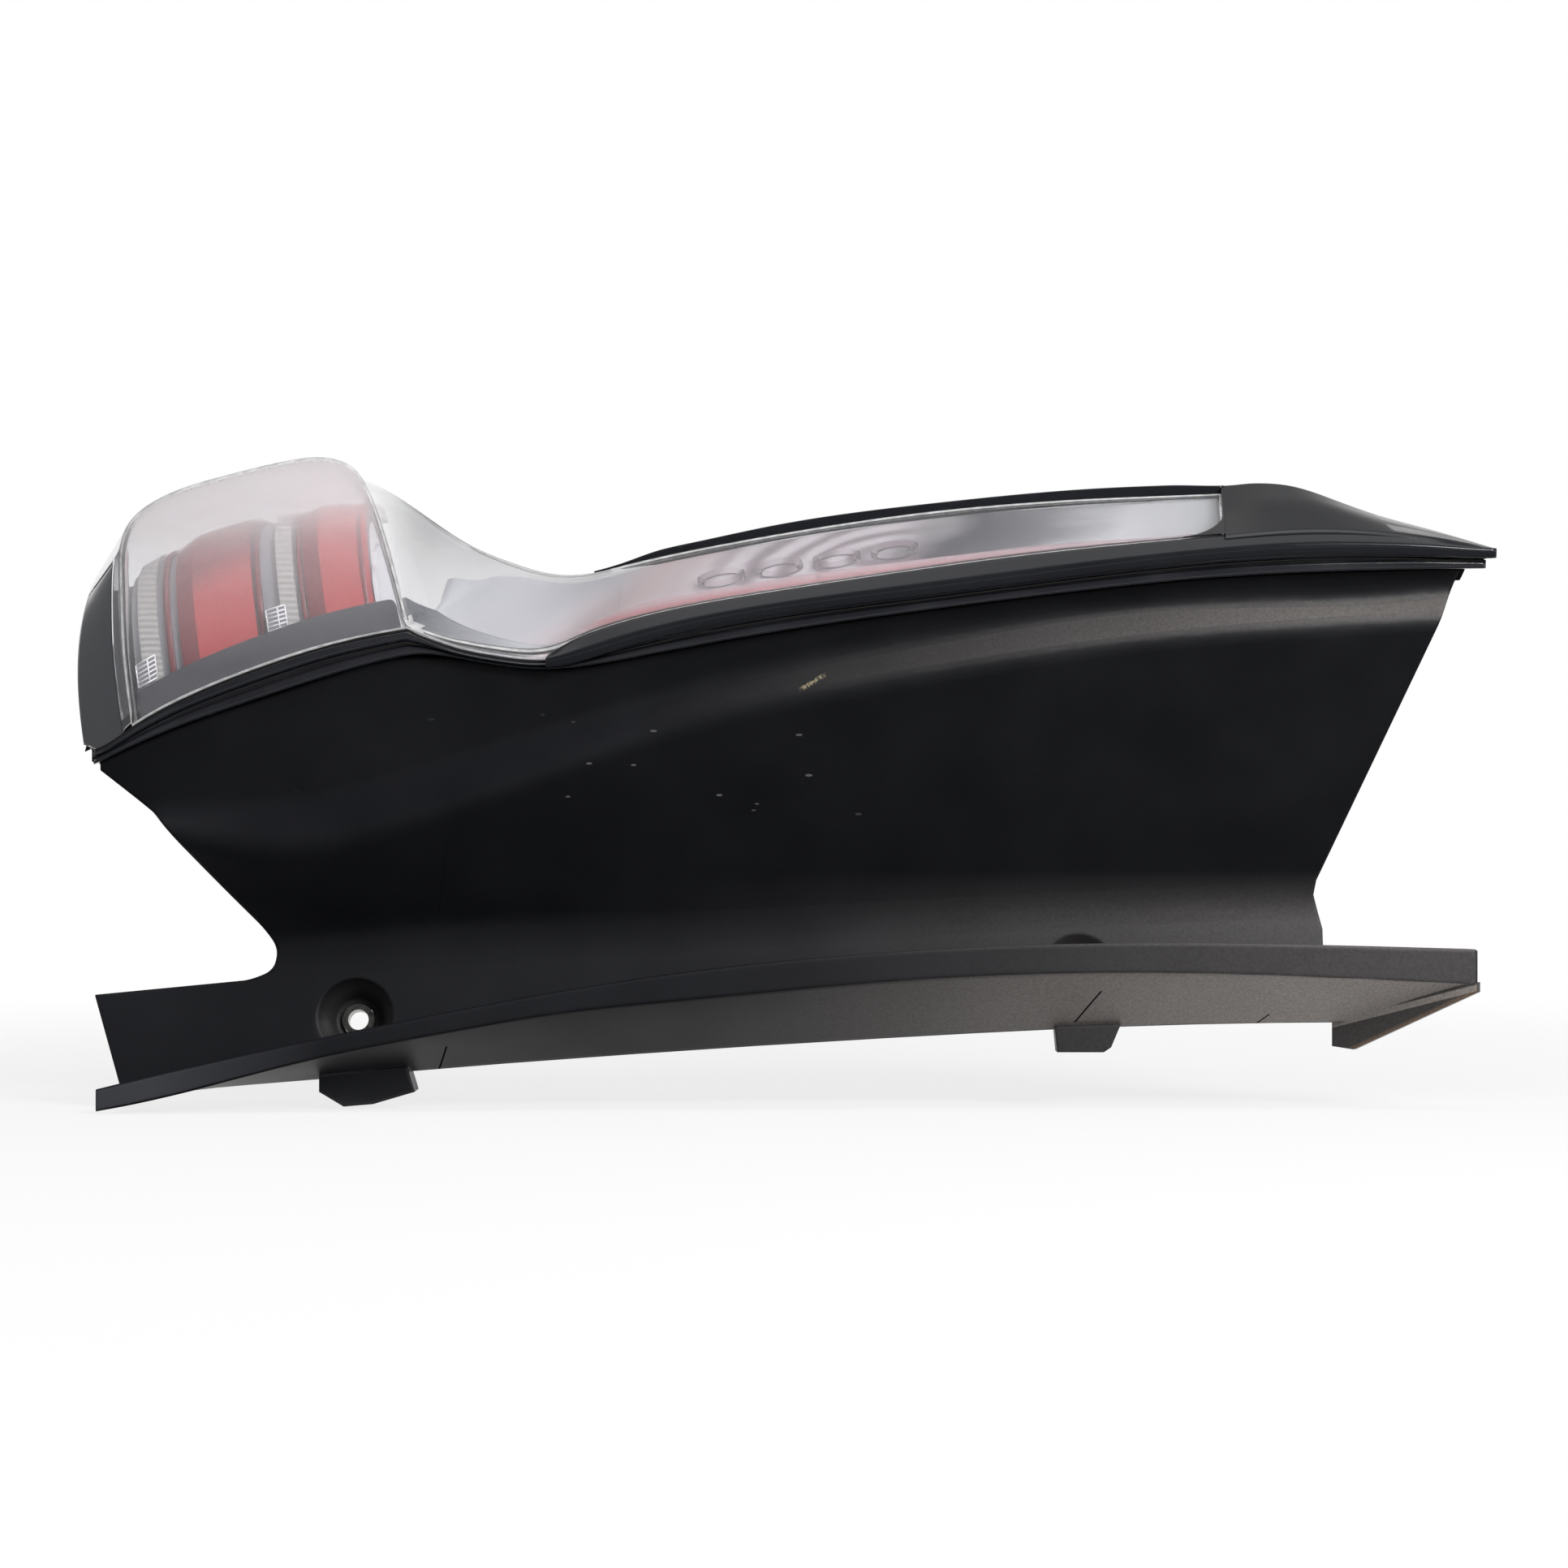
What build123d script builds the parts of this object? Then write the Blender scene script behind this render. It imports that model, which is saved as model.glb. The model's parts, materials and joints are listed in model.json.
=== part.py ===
"""Rear lamp for the body side of an estate car, lying on its side.

Millimetres. +X runs along the lamp to its pointed tip, +Y away from the viewer and +Z up.
The origin is the middle of the screw hole at its seat.
"""
import os
from math import cos, radians, sin, tan

from build123d import *

# Screw fixing in the shelf of the side panel
SCREW_R = 4.2
BUSH_R = 6.6
BUSH_LENGTH = 7.0
BUSH_PROUD = 1.5
DISH_R = 15.5
DISH_FLOOR_R = 9.0
DISH_DEPTH = 12.7
SHELF_LEAN = 12.0
SCOOP_X = 296.0
SCOOP_R = 15.5

# Walls and fits
LENS_WALL = 2.8
PANEL_WALL = 2.9
TUB_WALL = 2.6
CAP_WALL = 2.8
FIT = 0.2

# Depths along Y
LENS_NEAR = -40.0
LENS_FAR = 60.0
STRIP_PROUD = 5.0
RIM_PROUD = 2.0
RIM_OUT = 2.0
RIM_INNER = -29.0
GROOVE = 4.5
TUB_NEAR = -25.0
TUB_FAR = 52.0
FAR_STRIP = 4.0
PANEL_TOP_Y = -36.0
BAND_TOP_Y = -32.0
BAND_LOW_Y = -38.0
LIP_Y = -40.4
LIP_WALL = 2.8
BAND_ROUND = 12.0
SHELF_ROUND = 30.0

# Length stations
ARM_START = 80.0
STRIP_LEAD = 14.0
LENS_END = 352.0
TIP_END = 461.0
KINK_X = 24.0

# Outline of the lens, near face and far face, as (X, Z)
CUBE_NEAR = [(-86.5, 121.7), (-90, 150), (-91.2, 180), (-88, 202), (-74, 213.3), (-48, 222),
             (-22, 228), (-8, 228.8), (2, 225), (9, 214), (16, 193), (24, 161.5)]
CUBE_FAR = [(-124, 104), (-128, 140), (-126, 168), (-116, 192), (-97, 206), (-68, 217),
            (-38, 226), (-12, 229.5), (8, 222), (26, 210), (44, 199), (62, 192)]
ARM_NEAR = [(24, 161.5), (36, 157.2), (50, 154), (63, 152), (78, 151.6), (95, 157.5),
            (121, 165.6), (168, 174.5), (228, 183.6), (280, 190.5), (352, 197.5)]
ARM_FAR = [(62, 192), (72, 189), (82, 187.7), (92, 188.3), (107, 191.8), (125, 196),
           (150, 201), (190, 208), (240, 215), (290, 219.3), (352, 222.5)]

# Line on which the lens stands, in two curves that meet in a kink at the crease
RIM_CUBE = [(-135, 117), (-116, 112.2), (-102, 111.5), (-88, 119.5), (-74, 128), (-42, 142),
            (-9, 153), (24, 160)]
RIM_ARM = [(24, 160), (43, 152.5), (60, 149), (80, 147.5), (108, 154.5), (168, 168),
           (228, 176), (290, 184), (347, 190.5), (390, 193), (425, 192.8), (470, 190.6)]

# Lines of the side panel, from its top edge down to the rear edge of the web
PANEL_TOP = [(-112, 100), (-75, 117.5), (-42, 129.5), (-10, 140), (17, 147.5), (30, 149.4),
             (43, 148), (62, 144.7), (78, 143.3), (95, 144.6), (121, 149.2), (168, 157.7),
             (228, 166.5), (285, 173.7), (334, 179), (390, 182.5), (470, 184)]
BAND_TOP = [(-112, 86.5), (-75, 87), (-44, 88.5), (2, 96), (60, 113), (98, 124), (173, 145),
            (259, 162), (318, 170), (384, 173), (470, 176)]
BAND_LOW = [(-112, 83), (-66, 76.5), (-40, 71), (-10, 73), (29, 83.7), (73, 99.5),
            (123, 118), (198, 135), (259, 145.5), (318, 154), (384, 160), (470, 165)]
SHELF_BEND = [(-112, 29), (-31, 31), (20, 34), (122, 36.5), (220, 42), (317, 47), (470, 52)]
LIP_TOP = [(-112, -28), (-61, -15.6), (4, -1.6), (61, 9.8), (136, 22), (219, 30),
           (317, 33.6), (382, 33), (470, 30.5)]
LIP_LOW = [(-112, -36.5), (-74, -28.7), (-28, -16.5), (4, -9.1), (43, -1.6), (76, 4.2),
           (136, 11), (219, 18.6), (317, 22), (382, 20.5), (470, 16)]
WEB_REAR = [(-112, -33), (-60, -27), (-19, -23.6), (31, -19.3), (87, -15), (154, -10.4),
            (220, -6.4), (283, -3.1), (353, -0.7), (470, 0)]

# Floor of the tub, top of the far strip, and the edges of the tip cap
TUB_FLOOR = [(-135, 66), (-42, 96), (24, 108), (80, 104), (168, 122), (290, 142),
             (390, 158), (470, 172)]
FAR_TOP = [(94, 188.9), (106, 192.4), (120, 197.4), (135, 201), (170, 208.4), (240, 218.2),
           (310, 224.5), (352, 226.2), (374, 227)]
TIP_NEAR_Z = [(352, 197.5), (372, 199.3), (391, 200), (423, 198.3), (445, 195.2), (461, 192)]
TIP_FAR_Z = [(352, 226.2), (372, 227), (391, 224.5), (408, 216.5), (423, 209), (440, 202),
             (461, 192.6)]
TIP_FAR_Y = [(352, 64), (372, 62.5), (391, 45), (408, 26), (423, 9), (440, -11), (461, -37)]

# Inside of the cube: carrier, bars and guides
LEAN = 8.0
SILL_TOP = 10.5
BAR_THICK = 4.0
BAR_FLANK = 1.6
FLANK_RUN = 7.0
GUIDE_EXTRA = 1.4
BAR_SPANS = {"red_bar_lower": (-65.0, -34.5), "red_bar_upper": (-14.0, 12.6)}
GUIDE_SPANS = {"light_guide_lower": (-80.4, -73.0), "light_guide_upper": (-24.6, -18.0)}
PRISM_MID = {"light_guide_lower": -78.7, "light_guide_upper": -26.4}
CARRIER_SPAN = (-83.4, 13.0)
CARRIER = [(-31.5, 10.5), (-30.5, 24), (-26, 40), (-17, 52), (-4, 59), (20, 62), (44, 62)]

# Far wall fittings
PIN_R = 4.0
PIN_LENGTH = 20.0
PIN_X = (-60.0, 300.0)
SOCKET_X = 60.0
SOCKET_W = 28.0
SOCKET_H = 16.0
SOCKET_DEPTH = 20.0
VENT_X = (150.0, 345.0)
VENT_R = 9.0
EAR_X = (-20.0, 180.0, 360.0)
PANEL_SCREW_R = 1.9
RIB_X = (-30.0, 0.0, 110.0, 190.0, 230.0, 265.0)
RIB_THICK = 1.8
RIB_PROUD = 5.0

# Boards
BOARD_THICK = 1.6
TRAY_START = 30.0
TRAY_FAR_DROP = 5.0
CUBE_BOARD_X = (-72.0, 4.0)
ARM_BOARD_X = (118.0, 318.0)
BOARD_Y = (-14.0, 36.0)
BOARD_DROP = 20.0
LED_SIZE = 3.6


def curve(points):
    """The natural cubic z(x) through the points."""
    xs = [p[0] for p in points]
    zs = [p[1] for p in points]
    last = len(xs) - 1
    step = [xs[i + 1] - xs[i] for i in range(last)]
    rise = [(zs[i + 1] - zs[i]) / step[i] for i in range(last)]
    ratio = [0.0] * (last + 1)
    bend = [0.0] * (last + 1)
    for i in range(1, last):
        pivot = 2 * (step[i - 1] + step[i]) - step[i - 1] * ratio[i - 1]
        ratio[i] = step[i] / pivot
        bend[i] = (6 * (rise[i] - rise[i - 1]) - step[i - 1] * bend[i - 1]) / pivot
    for i in range(last - 1, 0, -1):
        bend[i] -= ratio[i] * bend[i + 1]

    def value(x):
        i = 0
        while i < last - 1 and x > xs[i + 1]:
            i += 1
        h = step[i]
        a = (xs[i + 1] - x) / h
        b = (x - xs[i]) / h
        cubic = ((a ** 3 - a) * bend[i] + (b ** 3 - b) * bend[i + 1]) * h * h / 6
        return a * zs[i] + b * zs[i + 1] + cubic

    return value


rim_cube = curve(RIM_CUBE)
rim_arm = curve(RIM_ARM)
arm_near = curve(ARM_NEAR)
arm_far = curve(ARM_FAR)
panel_top = curve(PANEL_TOP)
band_top = curve(BAND_TOP)
band_low = curve(BAND_LOW)
shelf_bend = curve(SHELF_BEND)
lip_top = curve(LIP_TOP)
lip_low = curve(LIP_LOW)
web_rear = curve(WEB_REAR)
tub_floor = curve(TUB_FLOOR)
far_top = curve(FAR_TOP)
tip_near_z = curve(TIP_NEAR_Z)
tip_far_z = curve(TIP_FAR_Z)
tip_far_y = curve(TIP_FAR_Y)


def rim(x):
    """Height of the line on which the lens stands."""
    return rim_cube(x) if x <= KINK_X else rim_arm(x)


def section(x, points):
    """Closed wire in the plane across the length at x, from (Y, Z) points."""
    return Wire.make_polygon([(x, y, z) for y, z in points], close=True)


def soft_section(x, corners):
    """Closed wire across the length at x, from (Y, Z, radius) corners rounded by arcs."""
    edges = []
    ends = []
    for i, (y, z, radius) in enumerate(corners):
        here = Vector(x, y, z)
        before = (Vector(x, *corners[i - 1][:2]) - here)
        after = (Vector(x, *corners[(i + 1) % len(corners)][:2]) - here)
        if radius == 0:
            ends.append((here, here))
            continue
        u = before.normalized()
        v = after.normalized()
        half = radians(u.get_angle(v)) / 2
        reach = min(radius / tan(half), 0.45 * before.length, 0.45 * after.length)
        inward = (u + v).normalized()
        middle = here + inward * (reach / cos(half) - reach * tan(half))
        ends.append((here + u * reach, here + v * reach))
        edges.append(ThreePointArc(here + u * reach, middle, here + v * reach))
    for i in range(len(corners)):
        edges.append(Line(ends[i - 1][1], ends[i][0]))
    return Wire(edges)


def loft_along(shape, stations, ruled=False):
    """Solid through the sections shape(x) at the stations."""
    return Solid.make_loft([section(x, shape(x)) for x in stations], ruled)


def prism_y(points, y0, y1):
    """Solid from an (X, Z) polygon, drawn out from y0 to y1."""
    face = Face(Wire.make_polygon([(x, y0, z) for x, z in points], close=True))
    return Solid.extrude(face, (0, y1 - y0, 0))


def prism_z(points, z0, z1):
    """Solid from an (X, Y) polygon, drawn up from z0 to z1."""
    face = Face(Wire.make_polygon([(x, y, z0) for x, y in points], close=True))
    return Solid.extrude(face, (0, 0, z1 - z0))


def block(x0, x1, y0, y1, z0, z1):
    """Box between two corners."""
    return Pos((x0 + x1) / 2, (y0 + y1) / 2, (z0 + z1) / 2) * Box(x1 - x0, y1 - y0, z1 - z0)


def rod(radius, x, z, y0, y1):
    """Round bar along Y."""
    frame = Plane(origin=(x, y0, z), x_dir=(1, 0, 0), z_dir=(0, 1, 0))
    return frame * Cylinder(radius, y1 - y0, align=(Align.CENTER, Align.CENTER, Align.MIN))


def inset(points, depth):
    """The open line moved to its right-hand side by depth."""
    moved = []
    for i, (x, z) in enumerate(points):
        x0, z0 = points[max(i - 1, 0)]
        x1, z1 = points[min(i + 1, len(points) - 1)]
        run = ((x1 - x0) ** 2 + (z1 - z0) ** 2) ** 0.5
        moved.append((x + depth * (z1 - z0) / run, z - depth * (x1 - x0) / run))
    return moved


def spline_y(points, y):
    """Smooth line through (X, Z) points in the plane at depth y."""
    return Spline(*[(x, y, z) for x, z in points])


def lens_wire(cube, arm, y, floor):
    """Closed outline of the lens at depth y, with a level floor."""
    start = (cube[0][0], y, cube[0][1])
    end = (arm[-1][0], y, arm[-1][1])
    foot_end = (end[0], y, floor)
    foot_start = (start[0], y, floor)
    sides = [Line(end, foot_end), Line(foot_end, foot_start), Line(foot_start, start)]
    return Wire([spline_y(cube, y), spline_y(arm, y)] + sides)


def inner_outline(cube, arm, wall):
    """Both lines of a lens outline, moved inwards by the wall and joined again."""
    line = inset(cube + arm[1:], wall)
    corner = len(cube) - 1
    end = arm[-1][0]
    arm_line = line[corner:-1] + [(end, line[-1][1])]
    return line[:corner + 1], arm_line


def rim_region(drop, bottom, y0, y1):
    """Everything under the lens line lowered by drop."""
    left = [(x, z - drop) for x, z in RIM_CUBE]
    right = [(x, z - drop) for x, z in RIM_ARM]
    start = (left[0][0], y0, left[0][1])
    end = (right[-1][0], y0, right[-1][1])
    foot_end = (end[0], y0, bottom)
    foot_start = (start[0], y0, bottom)
    sides = [Line(end, foot_end), Line(foot_end, foot_start), Line(foot_start, start)]
    face = Face(Wire([spline_y(left, y0), spline_y(right, y0)] + sides))
    return Solid.extrude(face, (0, y1 - y0, 0))


def lens_surface(x, y):
    """Height of the outer lens over the arm, level along the far side in the valley."""
    share = (y - LENS_NEAR) / (LENS_FAR - LENS_NEAR)
    return arm_near(x) + (arm_far(max(x, ARM_FAR[0][0] + 4)) - arm_near(x)) * share


nodes = {}

# Outer lens: ruled between the near and the far outline, hollow from below
lens_body = Solid.make_loft([lens_wire(CUBE_NEAR, ARM_NEAR, LENS_NEAR, 80),
                             lens_wire(CUBE_FAR, ARM_FAR, LENS_FAR, 80)], True)
cube_in, arm_in = inner_outline(CUBE_NEAR, ARM_NEAR, LENS_WALL)
cube_in_far, arm_in_far = inner_outline(CUBE_FAR, ARM_FAR, LENS_WALL)
lens_hollow = Solid.make_loft([lens_wire(cube_in, arm_in, LENS_NEAR + LENS_WALL, 60),
                               lens_wire(cube_in_far, arm_in_far, LENS_FAR - LENS_WALL, 60)], True)
crease = [e for e in lens_body.edges() if abs(e.center().Y - LENS_NEAR) < 0.01]
crease = [e for e in crease if e.center().Z > 160 and e.length > 100]
lens_body = lens_body.fillet(2.5, crease)
end_wall = block(LENS_END - LENS_WALL, LENS_END + 1, LENS_NEAR, LENS_FAR, 80, 240)
shell = lens_body - (lens_hollow - end_wall) - rim_region(0, 40, -80, 100)

# The lower end wall of the cube is a black cap, the rest of the shell is clear
cap_outline = [(-24.0, 60), (-19.0, 189), (63, 176.5), (63, 60)]
cap_zone = Solid.extrude(Face(section(-140, cap_outline)), (62, 0, 0))
slit_outline = [(-24.0 - FIT, 60), (-19.0 - FIT, 189 + FIT), (63, 176.5 + FIT), (63, 60)]
cap_slit = Solid.extrude(Face(section(-140, slit_outline)), (62, 0, 0))
far_guard = block(-140, 70, LENS_FAR - LENS_WALL - FIT, 70, 40, 240)
nodes["lower_end_cap"] = (shell & cap_zone) - far_guard
nodes["outer_lens"] = shell - (cap_slit - block(-140, 70, LENS_FAR - LENS_WALL, 70, 40, 240))

# Black bezel of the arm: near strip, tip cap and far strip
strip_y = LENS_NEAR - STRIP_PROUD
back_y = LENS_NEAR - RIM_PROUD - FIT


def strip_section(x):
    base = rim(x)
    lead = 1 - min(1, (x - ARM_START) / STRIP_LEAD)
    full = arm_near(x) if x < LENS_END else tip_near_z(x)
    top = base + 0.8 + (full - base - 0.8) * (1 - lead * lead) ** 0.5
    return [(LENS_NEAR - FIT, top), (strip_y, base + 0.6), (strip_y + 0.8, base - 3.5),
            (back_y, base - 3.5), (back_y, base - 1), (LENS_NEAR - FIT, base - 1)]


def tip_section(x):
    base = rim(x)
    near = tip_near_z(x)
    far_y = tip_far_y(x)
    far_z = tip_far_z(x)
    mid_y = (LENS_NEAR + far_y) / 2
    mid_z = near + 0.56 * (far_z - near)
    return [(strip_y, base + 0.6), (LENS_NEAR - FIT, near), (mid_y, mid_z), (far_y, far_z),
            (far_y, base - 1), (back_y, base - 1), (back_y, base - 3.5),
            (strip_y + 0.8, base - 3.5)]


def tip_hollow(x):
    base = rim(x)
    near = tip_near_z(x)
    far_y = tip_far_y(x) - CAP_WALL
    far_z = tip_far_z(x) - CAP_WALL
    mid_y = (LENS_NEAR + far_y) / 2
    mid_z = near + 0.56 * (far_z - near) - CAP_WALL / 2
    return [(LENS_NEAR + CAP_WALL, near - CAP_WALL), (mid_y, mid_z), (far_y, far_z),
            (far_y, base - 4), (LENS_NEAR + CAP_WALL, base - 4)]


def far_section(x):
    y0 = LENS_FAR + FIT
    y1 = LENS_FAR + FAR_STRIP
    low = far_top(x) - 2 - 7 * min(1, (x - FAR_TOP[0][0]) / 30)
    return [(y0, low), (y1, low), (y1, far_top(x)), (y0, far_top(x))]


strip_lead = [ARM_START + STRIP_LEAD * share for share in (0.02, 0.1, 0.25, 0.5, 1)]
strip = loft_along(strip_section, strip_lead + [106, 121, 168, 228, 290, LENS_END + 1])
tip_stations = [LENS_END + FIT, 372, 391, 408, 423, 440, TIP_END]
tip = loft_along(tip_section, tip_stations)
tip_void = loft_along(tip_hollow, [LENS_END - 1, 372, 391, 408, 423, 436])
far_strip = loft_along(far_section, [94, 106, 120, 135, 170, 240, 310, 352, 370])
bezel = strip + (tip - tip_void) + (far_strip - tip_void)
nodes["arm_bezel"] = bezel - rim_region(-0.4, 40, back_y, 100)

# Bead of sealant between lens and rim
plan_seal_out = [(-101, -41), (353, -41), (353, 61), (-121, 61)]
plan_seal_in = [(-97, -36), (347, -36), (347, 56.5), (-117, 56.5)]
bead = rim_region(FIT, 40, -80, 100) - rim_region(1.2, 30, -90, 110)
ring = prism_z(plan_seal_out, 80, 240) - prism_z(plan_seal_in, 70, 250)
nodes["lens_seal"] = bead & ring

# Lamp housing: rim with groove and ridge, tub below it
rim_front = LENS_NEAR - RIM_PROUD
rim_back = LENS_FAR + RIM_OUT


def housing_section(x):
    top = rim(x) - 1.4
    low = panel_top(x) + 0.6
    tall = top - low
    return [(rim_front, top + 2), (rim_front, top - 0.32 * tall), (rim_front + GROOVE, top - 0.32 * tall),
            (rim_front + GROOVE, top - 0.66 * tall), (rim_front + 1.5, top - 0.66 * tall),
            (rim_front + 1.5, low), (TUB_NEAR - 6, low), (TUB_NEAR, low - 11),
            (TUB_NEAR, tub_floor(x)), (TUB_FAR, tub_floor(x)), (TUB_FAR, top - 4),
            (rim_back, top - 4), (rim_back, top + 2)]


def tub_hollow(x):
    low = panel_top(x) + 0.6
    near = TUB_NEAR + TUB_WALL
    far = TUB_FAR - TUB_WALL
    floor = tub_floor(x) + TUB_WALL
    return [(RIM_INNER, rim(x) + 3), (RIM_INNER, low + 1), (near, low - 12), (near, floor),
            (far, floor), (far, rim(x) + 3)]


left_stations = [-135, -112, -90, -65, -42, -15, 5, KINK_X]
right_stations = [KINK_X, 34, 47, 62, 80, 100, 121, 150, 190, 230, 275, 320, 365, 410, 465]
plan_out = [(-102, rim_front - 1), (459, rim_front - 1), (450, -29), (391, 42), (371, rim_back + 1),
            (-122, rim_back + 1)]
plan_in = [(-94, rim_front), (425, rim_front), (425, -8), (384, 42), (366, rim_back),
           (-114, rim_back)]
solid_left = loft_along(housing_section, left_stations)
solid_right = loft_along(housing_section, right_stations)
void_left = loft_along(tub_hollow, left_stations)
void_right = loft_along(tub_hollow, right_stations)
tub_end = [(-150, 107), (-103, 107), (-93, 100), (-25, 29), (-25, 0), (-150, 0)]
void_end = [(x + 4, z + 3) for x, z in tub_end]
tub_tip = [(480, 180), (442, 180), (436, 164), (390, 58), (480, 0)]
void_tip = [(x - 4, z + 2) for x, z in tub_tip]
housing = (solid_left + solid_right) & prism_z(plan_out, 40, 240) & rim_region(1.4, 20, -80, 100)
housing = housing - prism_y(tub_end, -80, 100) - prism_y(tub_tip, -80, 100)
tub_void = ((void_left + void_right) & prism_z(plan_in, 30, 250)) - prism_y(void_end, -80, 100)
tub_void = tub_void - prism_y(void_tip, -80, 100)
housing = housing - tub_void

# Side panel: one skin from the top edge over the band, shelf and gutter to the lip
slope = tan(radians(SHELF_LEAN))
axis = (0, -cos(radians(SHELF_LEAN)), sin(radians(SHELF_LEAN)))
shelf_top_y = slope * shelf_bend(0) - DISH_DEPTH / cos(radians(SHELF_LEAN))


def panel_section(x):
    foot = web_rear(x) + 3.2
    foot_y = shelf_top_y - slope * (shelf_bend(x) - foot)
    lip_in = LIP_Y + LIP_WALL
    wall = PANEL_WALL
    return [(PANEL_TOP_Y, panel_top(x), 0), (BAND_TOP_Y, band_top(x), BAND_ROUND),
            (BAND_LOW_Y, band_low(x), BAND_ROUND), (shelf_top_y, shelf_bend(x), SHELF_ROUND),
            (foot_y, foot, 4), (lip_in, lip_low(x) + 2.6, 3), (lip_in, lip_top(x), 0),
            (LIP_Y, lip_top(x), 0.9), (LIP_Y, lip_low(x), 1.2), (foot_y + wall, web_rear(x), 0),
            (foot_y + wall, foot, 0), (shelf_top_y + wall, shelf_bend(x) - 0.4, SHELF_ROUND),
            (BAND_LOW_Y + wall, band_low(x) - 0.6, BAND_ROUND),
            (BAND_TOP_Y + wall, band_top(x) - 0.3, BAND_ROUND), (PANEL_TOP_Y + wall, panel_top(x), 0)]


panel_stations = [-112, -90, -68, -44, -15, 20, 50, 80, 115, 150, 190, 230, 275, 320, 370, 415, 465]
panel_outline = [(-100, 103), (-100, 230), (460, 230), (448, 184), (440, 164), (394, 58),
                 (393, 52), (397, 36), (460, 36), (460, -60), (-101, -60), (-101, -22),
                 (-107, 11), (-44, 17), (-34, 21), (-32, 30), (-37, 38), (-79, 86)]
skin = Solid.make_loft([soft_section(x, panel_section(x)) for x in panel_stations])
skin = skin & prism_y(panel_outline, -80, 60)
end_cut = prism_z([(455, -60), (455, -41), (404, -8), (404, 40), (480, 40), (480, -60)], -60, 36)
behind_lip = LIP_Y + LIP_WALL + 0.5
shelf_end = block(396.5, 480, behind_lip, 30, 22, 60)
tab_end = prism_y([(-130, 20), (-110, 20), (-94, -30), (-94, -60), (-130, -60)], behind_lip, 60)
skin = skin - end_cut - shelf_end - tab_end

seat = Plane(origin=(0, 0, 0), x_dir=(1, 0, 0), z_dir=axis)
base = (Align.CENTER, Align.CENTER, Align.MIN)
dish_slope = (DISH_R - DISH_FLOOR_R) / DISH_DEPTH
dish_tall = DISH_DEPTH + PANEL_WALL - 0.6
dish_out = seat * Pos(0, 0, -PANEL_WALL) * Cone(DISH_FLOOR_R + PANEL_WALL - dish_slope * PANEL_WALL,
                                                DISH_R + PANEL_WALL - 0.6 * dish_slope,
                                                dish_tall, align=base)
dish_in = seat * Cone(DISH_FLOOR_R, DISH_R + 4 * dish_slope, DISH_DEPTH + 4, align=base)
bush_hole = seat * Pos(0, 0, -8) * Cylinder(BUSH_R + FIT / 2, 12, align=base)
gutter_guard = loft_along(lambda x: [(-60, web_rear(x) - 40), (-60, web_rear(x) + 0.5),
                                     (30, web_rear(x) + 0.5), (30, web_rear(x) - 40)],
                          [-40, 0, 40])
scoop_z = shelf_bend(SCOOP_X) - 25
scoop_y = shelf_top_y - slope * (shelf_bend(SCOOP_X) - scoop_z)
scoop_seat = Plane(origin=(SCOOP_X, scoop_y, scoop_z), x_dir=(1, 0, 0), z_dir=axis)
scoop_out = scoop_seat * Pos(0, 0, -8) * Cone(8.5, SCOOP_R + 2.2, 7.4, align=base)
scoop_in = scoop_seat * Pos(0, 0, -5.5) * Cone(8, SCOOP_R + 3, 8, align=base)
panel = skin + (dish_out - gutter_guard) + scoop_out - dish_in - bush_hole - scoop_in

# Two moulded clips under the web and the rib on its slanting end
clip_low = prism_y([(-14, -21), (-14, -28), (-4, -34), (8, -33), (25, -28), (22, -18)], -19, -3)
clip_low_void = prism_y([(-11, -10), (-11, -27), (-4, -31), (8, -30), (20, -26.5), (18, -10)],
                        -16, 0)
clip_up = prism_y([(286, -1.5), (287, -12), (306, -12), (309, -10), (313, -0.5)], -17, -6)
clip_up_void = prism_y([(290, 10), (290, -9), (304, -9), (308, 10)], -14, 0)
rib_points = []
for share, z in ((0, 18), (0, 14), (0.85, -11), (1, -10), (1, 1)):
    rib_points.append((455 - 53 * share, -41 + 34 * share, z))
rib_face = Face(Wire.make_polygon(rib_points, close=True))
rib = Solid.extrude(rib_face, (-1.8, -2.6, 0))
web_guard = loft_along(lambda x: [(-60, lip_low(x)), (LIP_Y + LIP_WALL, lip_low(x) + 2.6),
                                  (-16, web_rear(x) + 3), (20, web_rear(x) + 3), (20, 60),
                                  (-60, 60)], panel_stations)
clips = (clip_low - clip_low_void) + (clip_up - clip_up_void) + rib
panel = panel + (clips - web_guard)

# Ears of the tub, bosses of the panel, and the screws between them
ears = []
bosses = []
ear_holes = []
pilots = []
panel_screws = []
for x in EAR_X:
    z = tub_floor(x) - 6
    ears.append(block(x - 8, x + 8, TUB_NEAR, TUB_NEAR + TUB_WALL, z - 6, z + 9))
    ear_holes.append(rod(PANEL_SCREW_R + 0.3, x, z, TUB_NEAR - 5, TUB_NEAR + 8))
    bosses.append(rod(4.6, x, z, TUB_NEAR - 7.5, TUB_NEAR - FIT))
    pilots.append(rod(PANEL_SCREW_R + 0.1, x, z, TUB_NEAR - 6.5, TUB_NEAR + 1))
    shank = rod(PANEL_SCREW_R, x, z, TUB_NEAR - 6, TUB_NEAR + TUB_WALL + 2)
    head = rod(4.2, x, z, TUB_NEAR + TUB_WALL, TUB_NEAR + TUB_WALL + 2.8)
    panel_screws.append(shank + head)
boss_guard = loft_along(lambda x: [(-90, 230), (-90, -40), (shelf_top_y + 1.4, shelf_bend(x)),
                                   (BAND_LOW_Y + 1.4, band_low(x)), (BAND_TOP_Y + 1.4, band_top(x)),
                                   (PANEL_TOP_Y + 1.4, panel_top(x)), (PANEL_TOP_Y + 1.4, 230)],
                        panel_stations)
nodes["side_panel"] = panel + (Part() + bosses - boss_guard) - (Part() + pilots)
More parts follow.
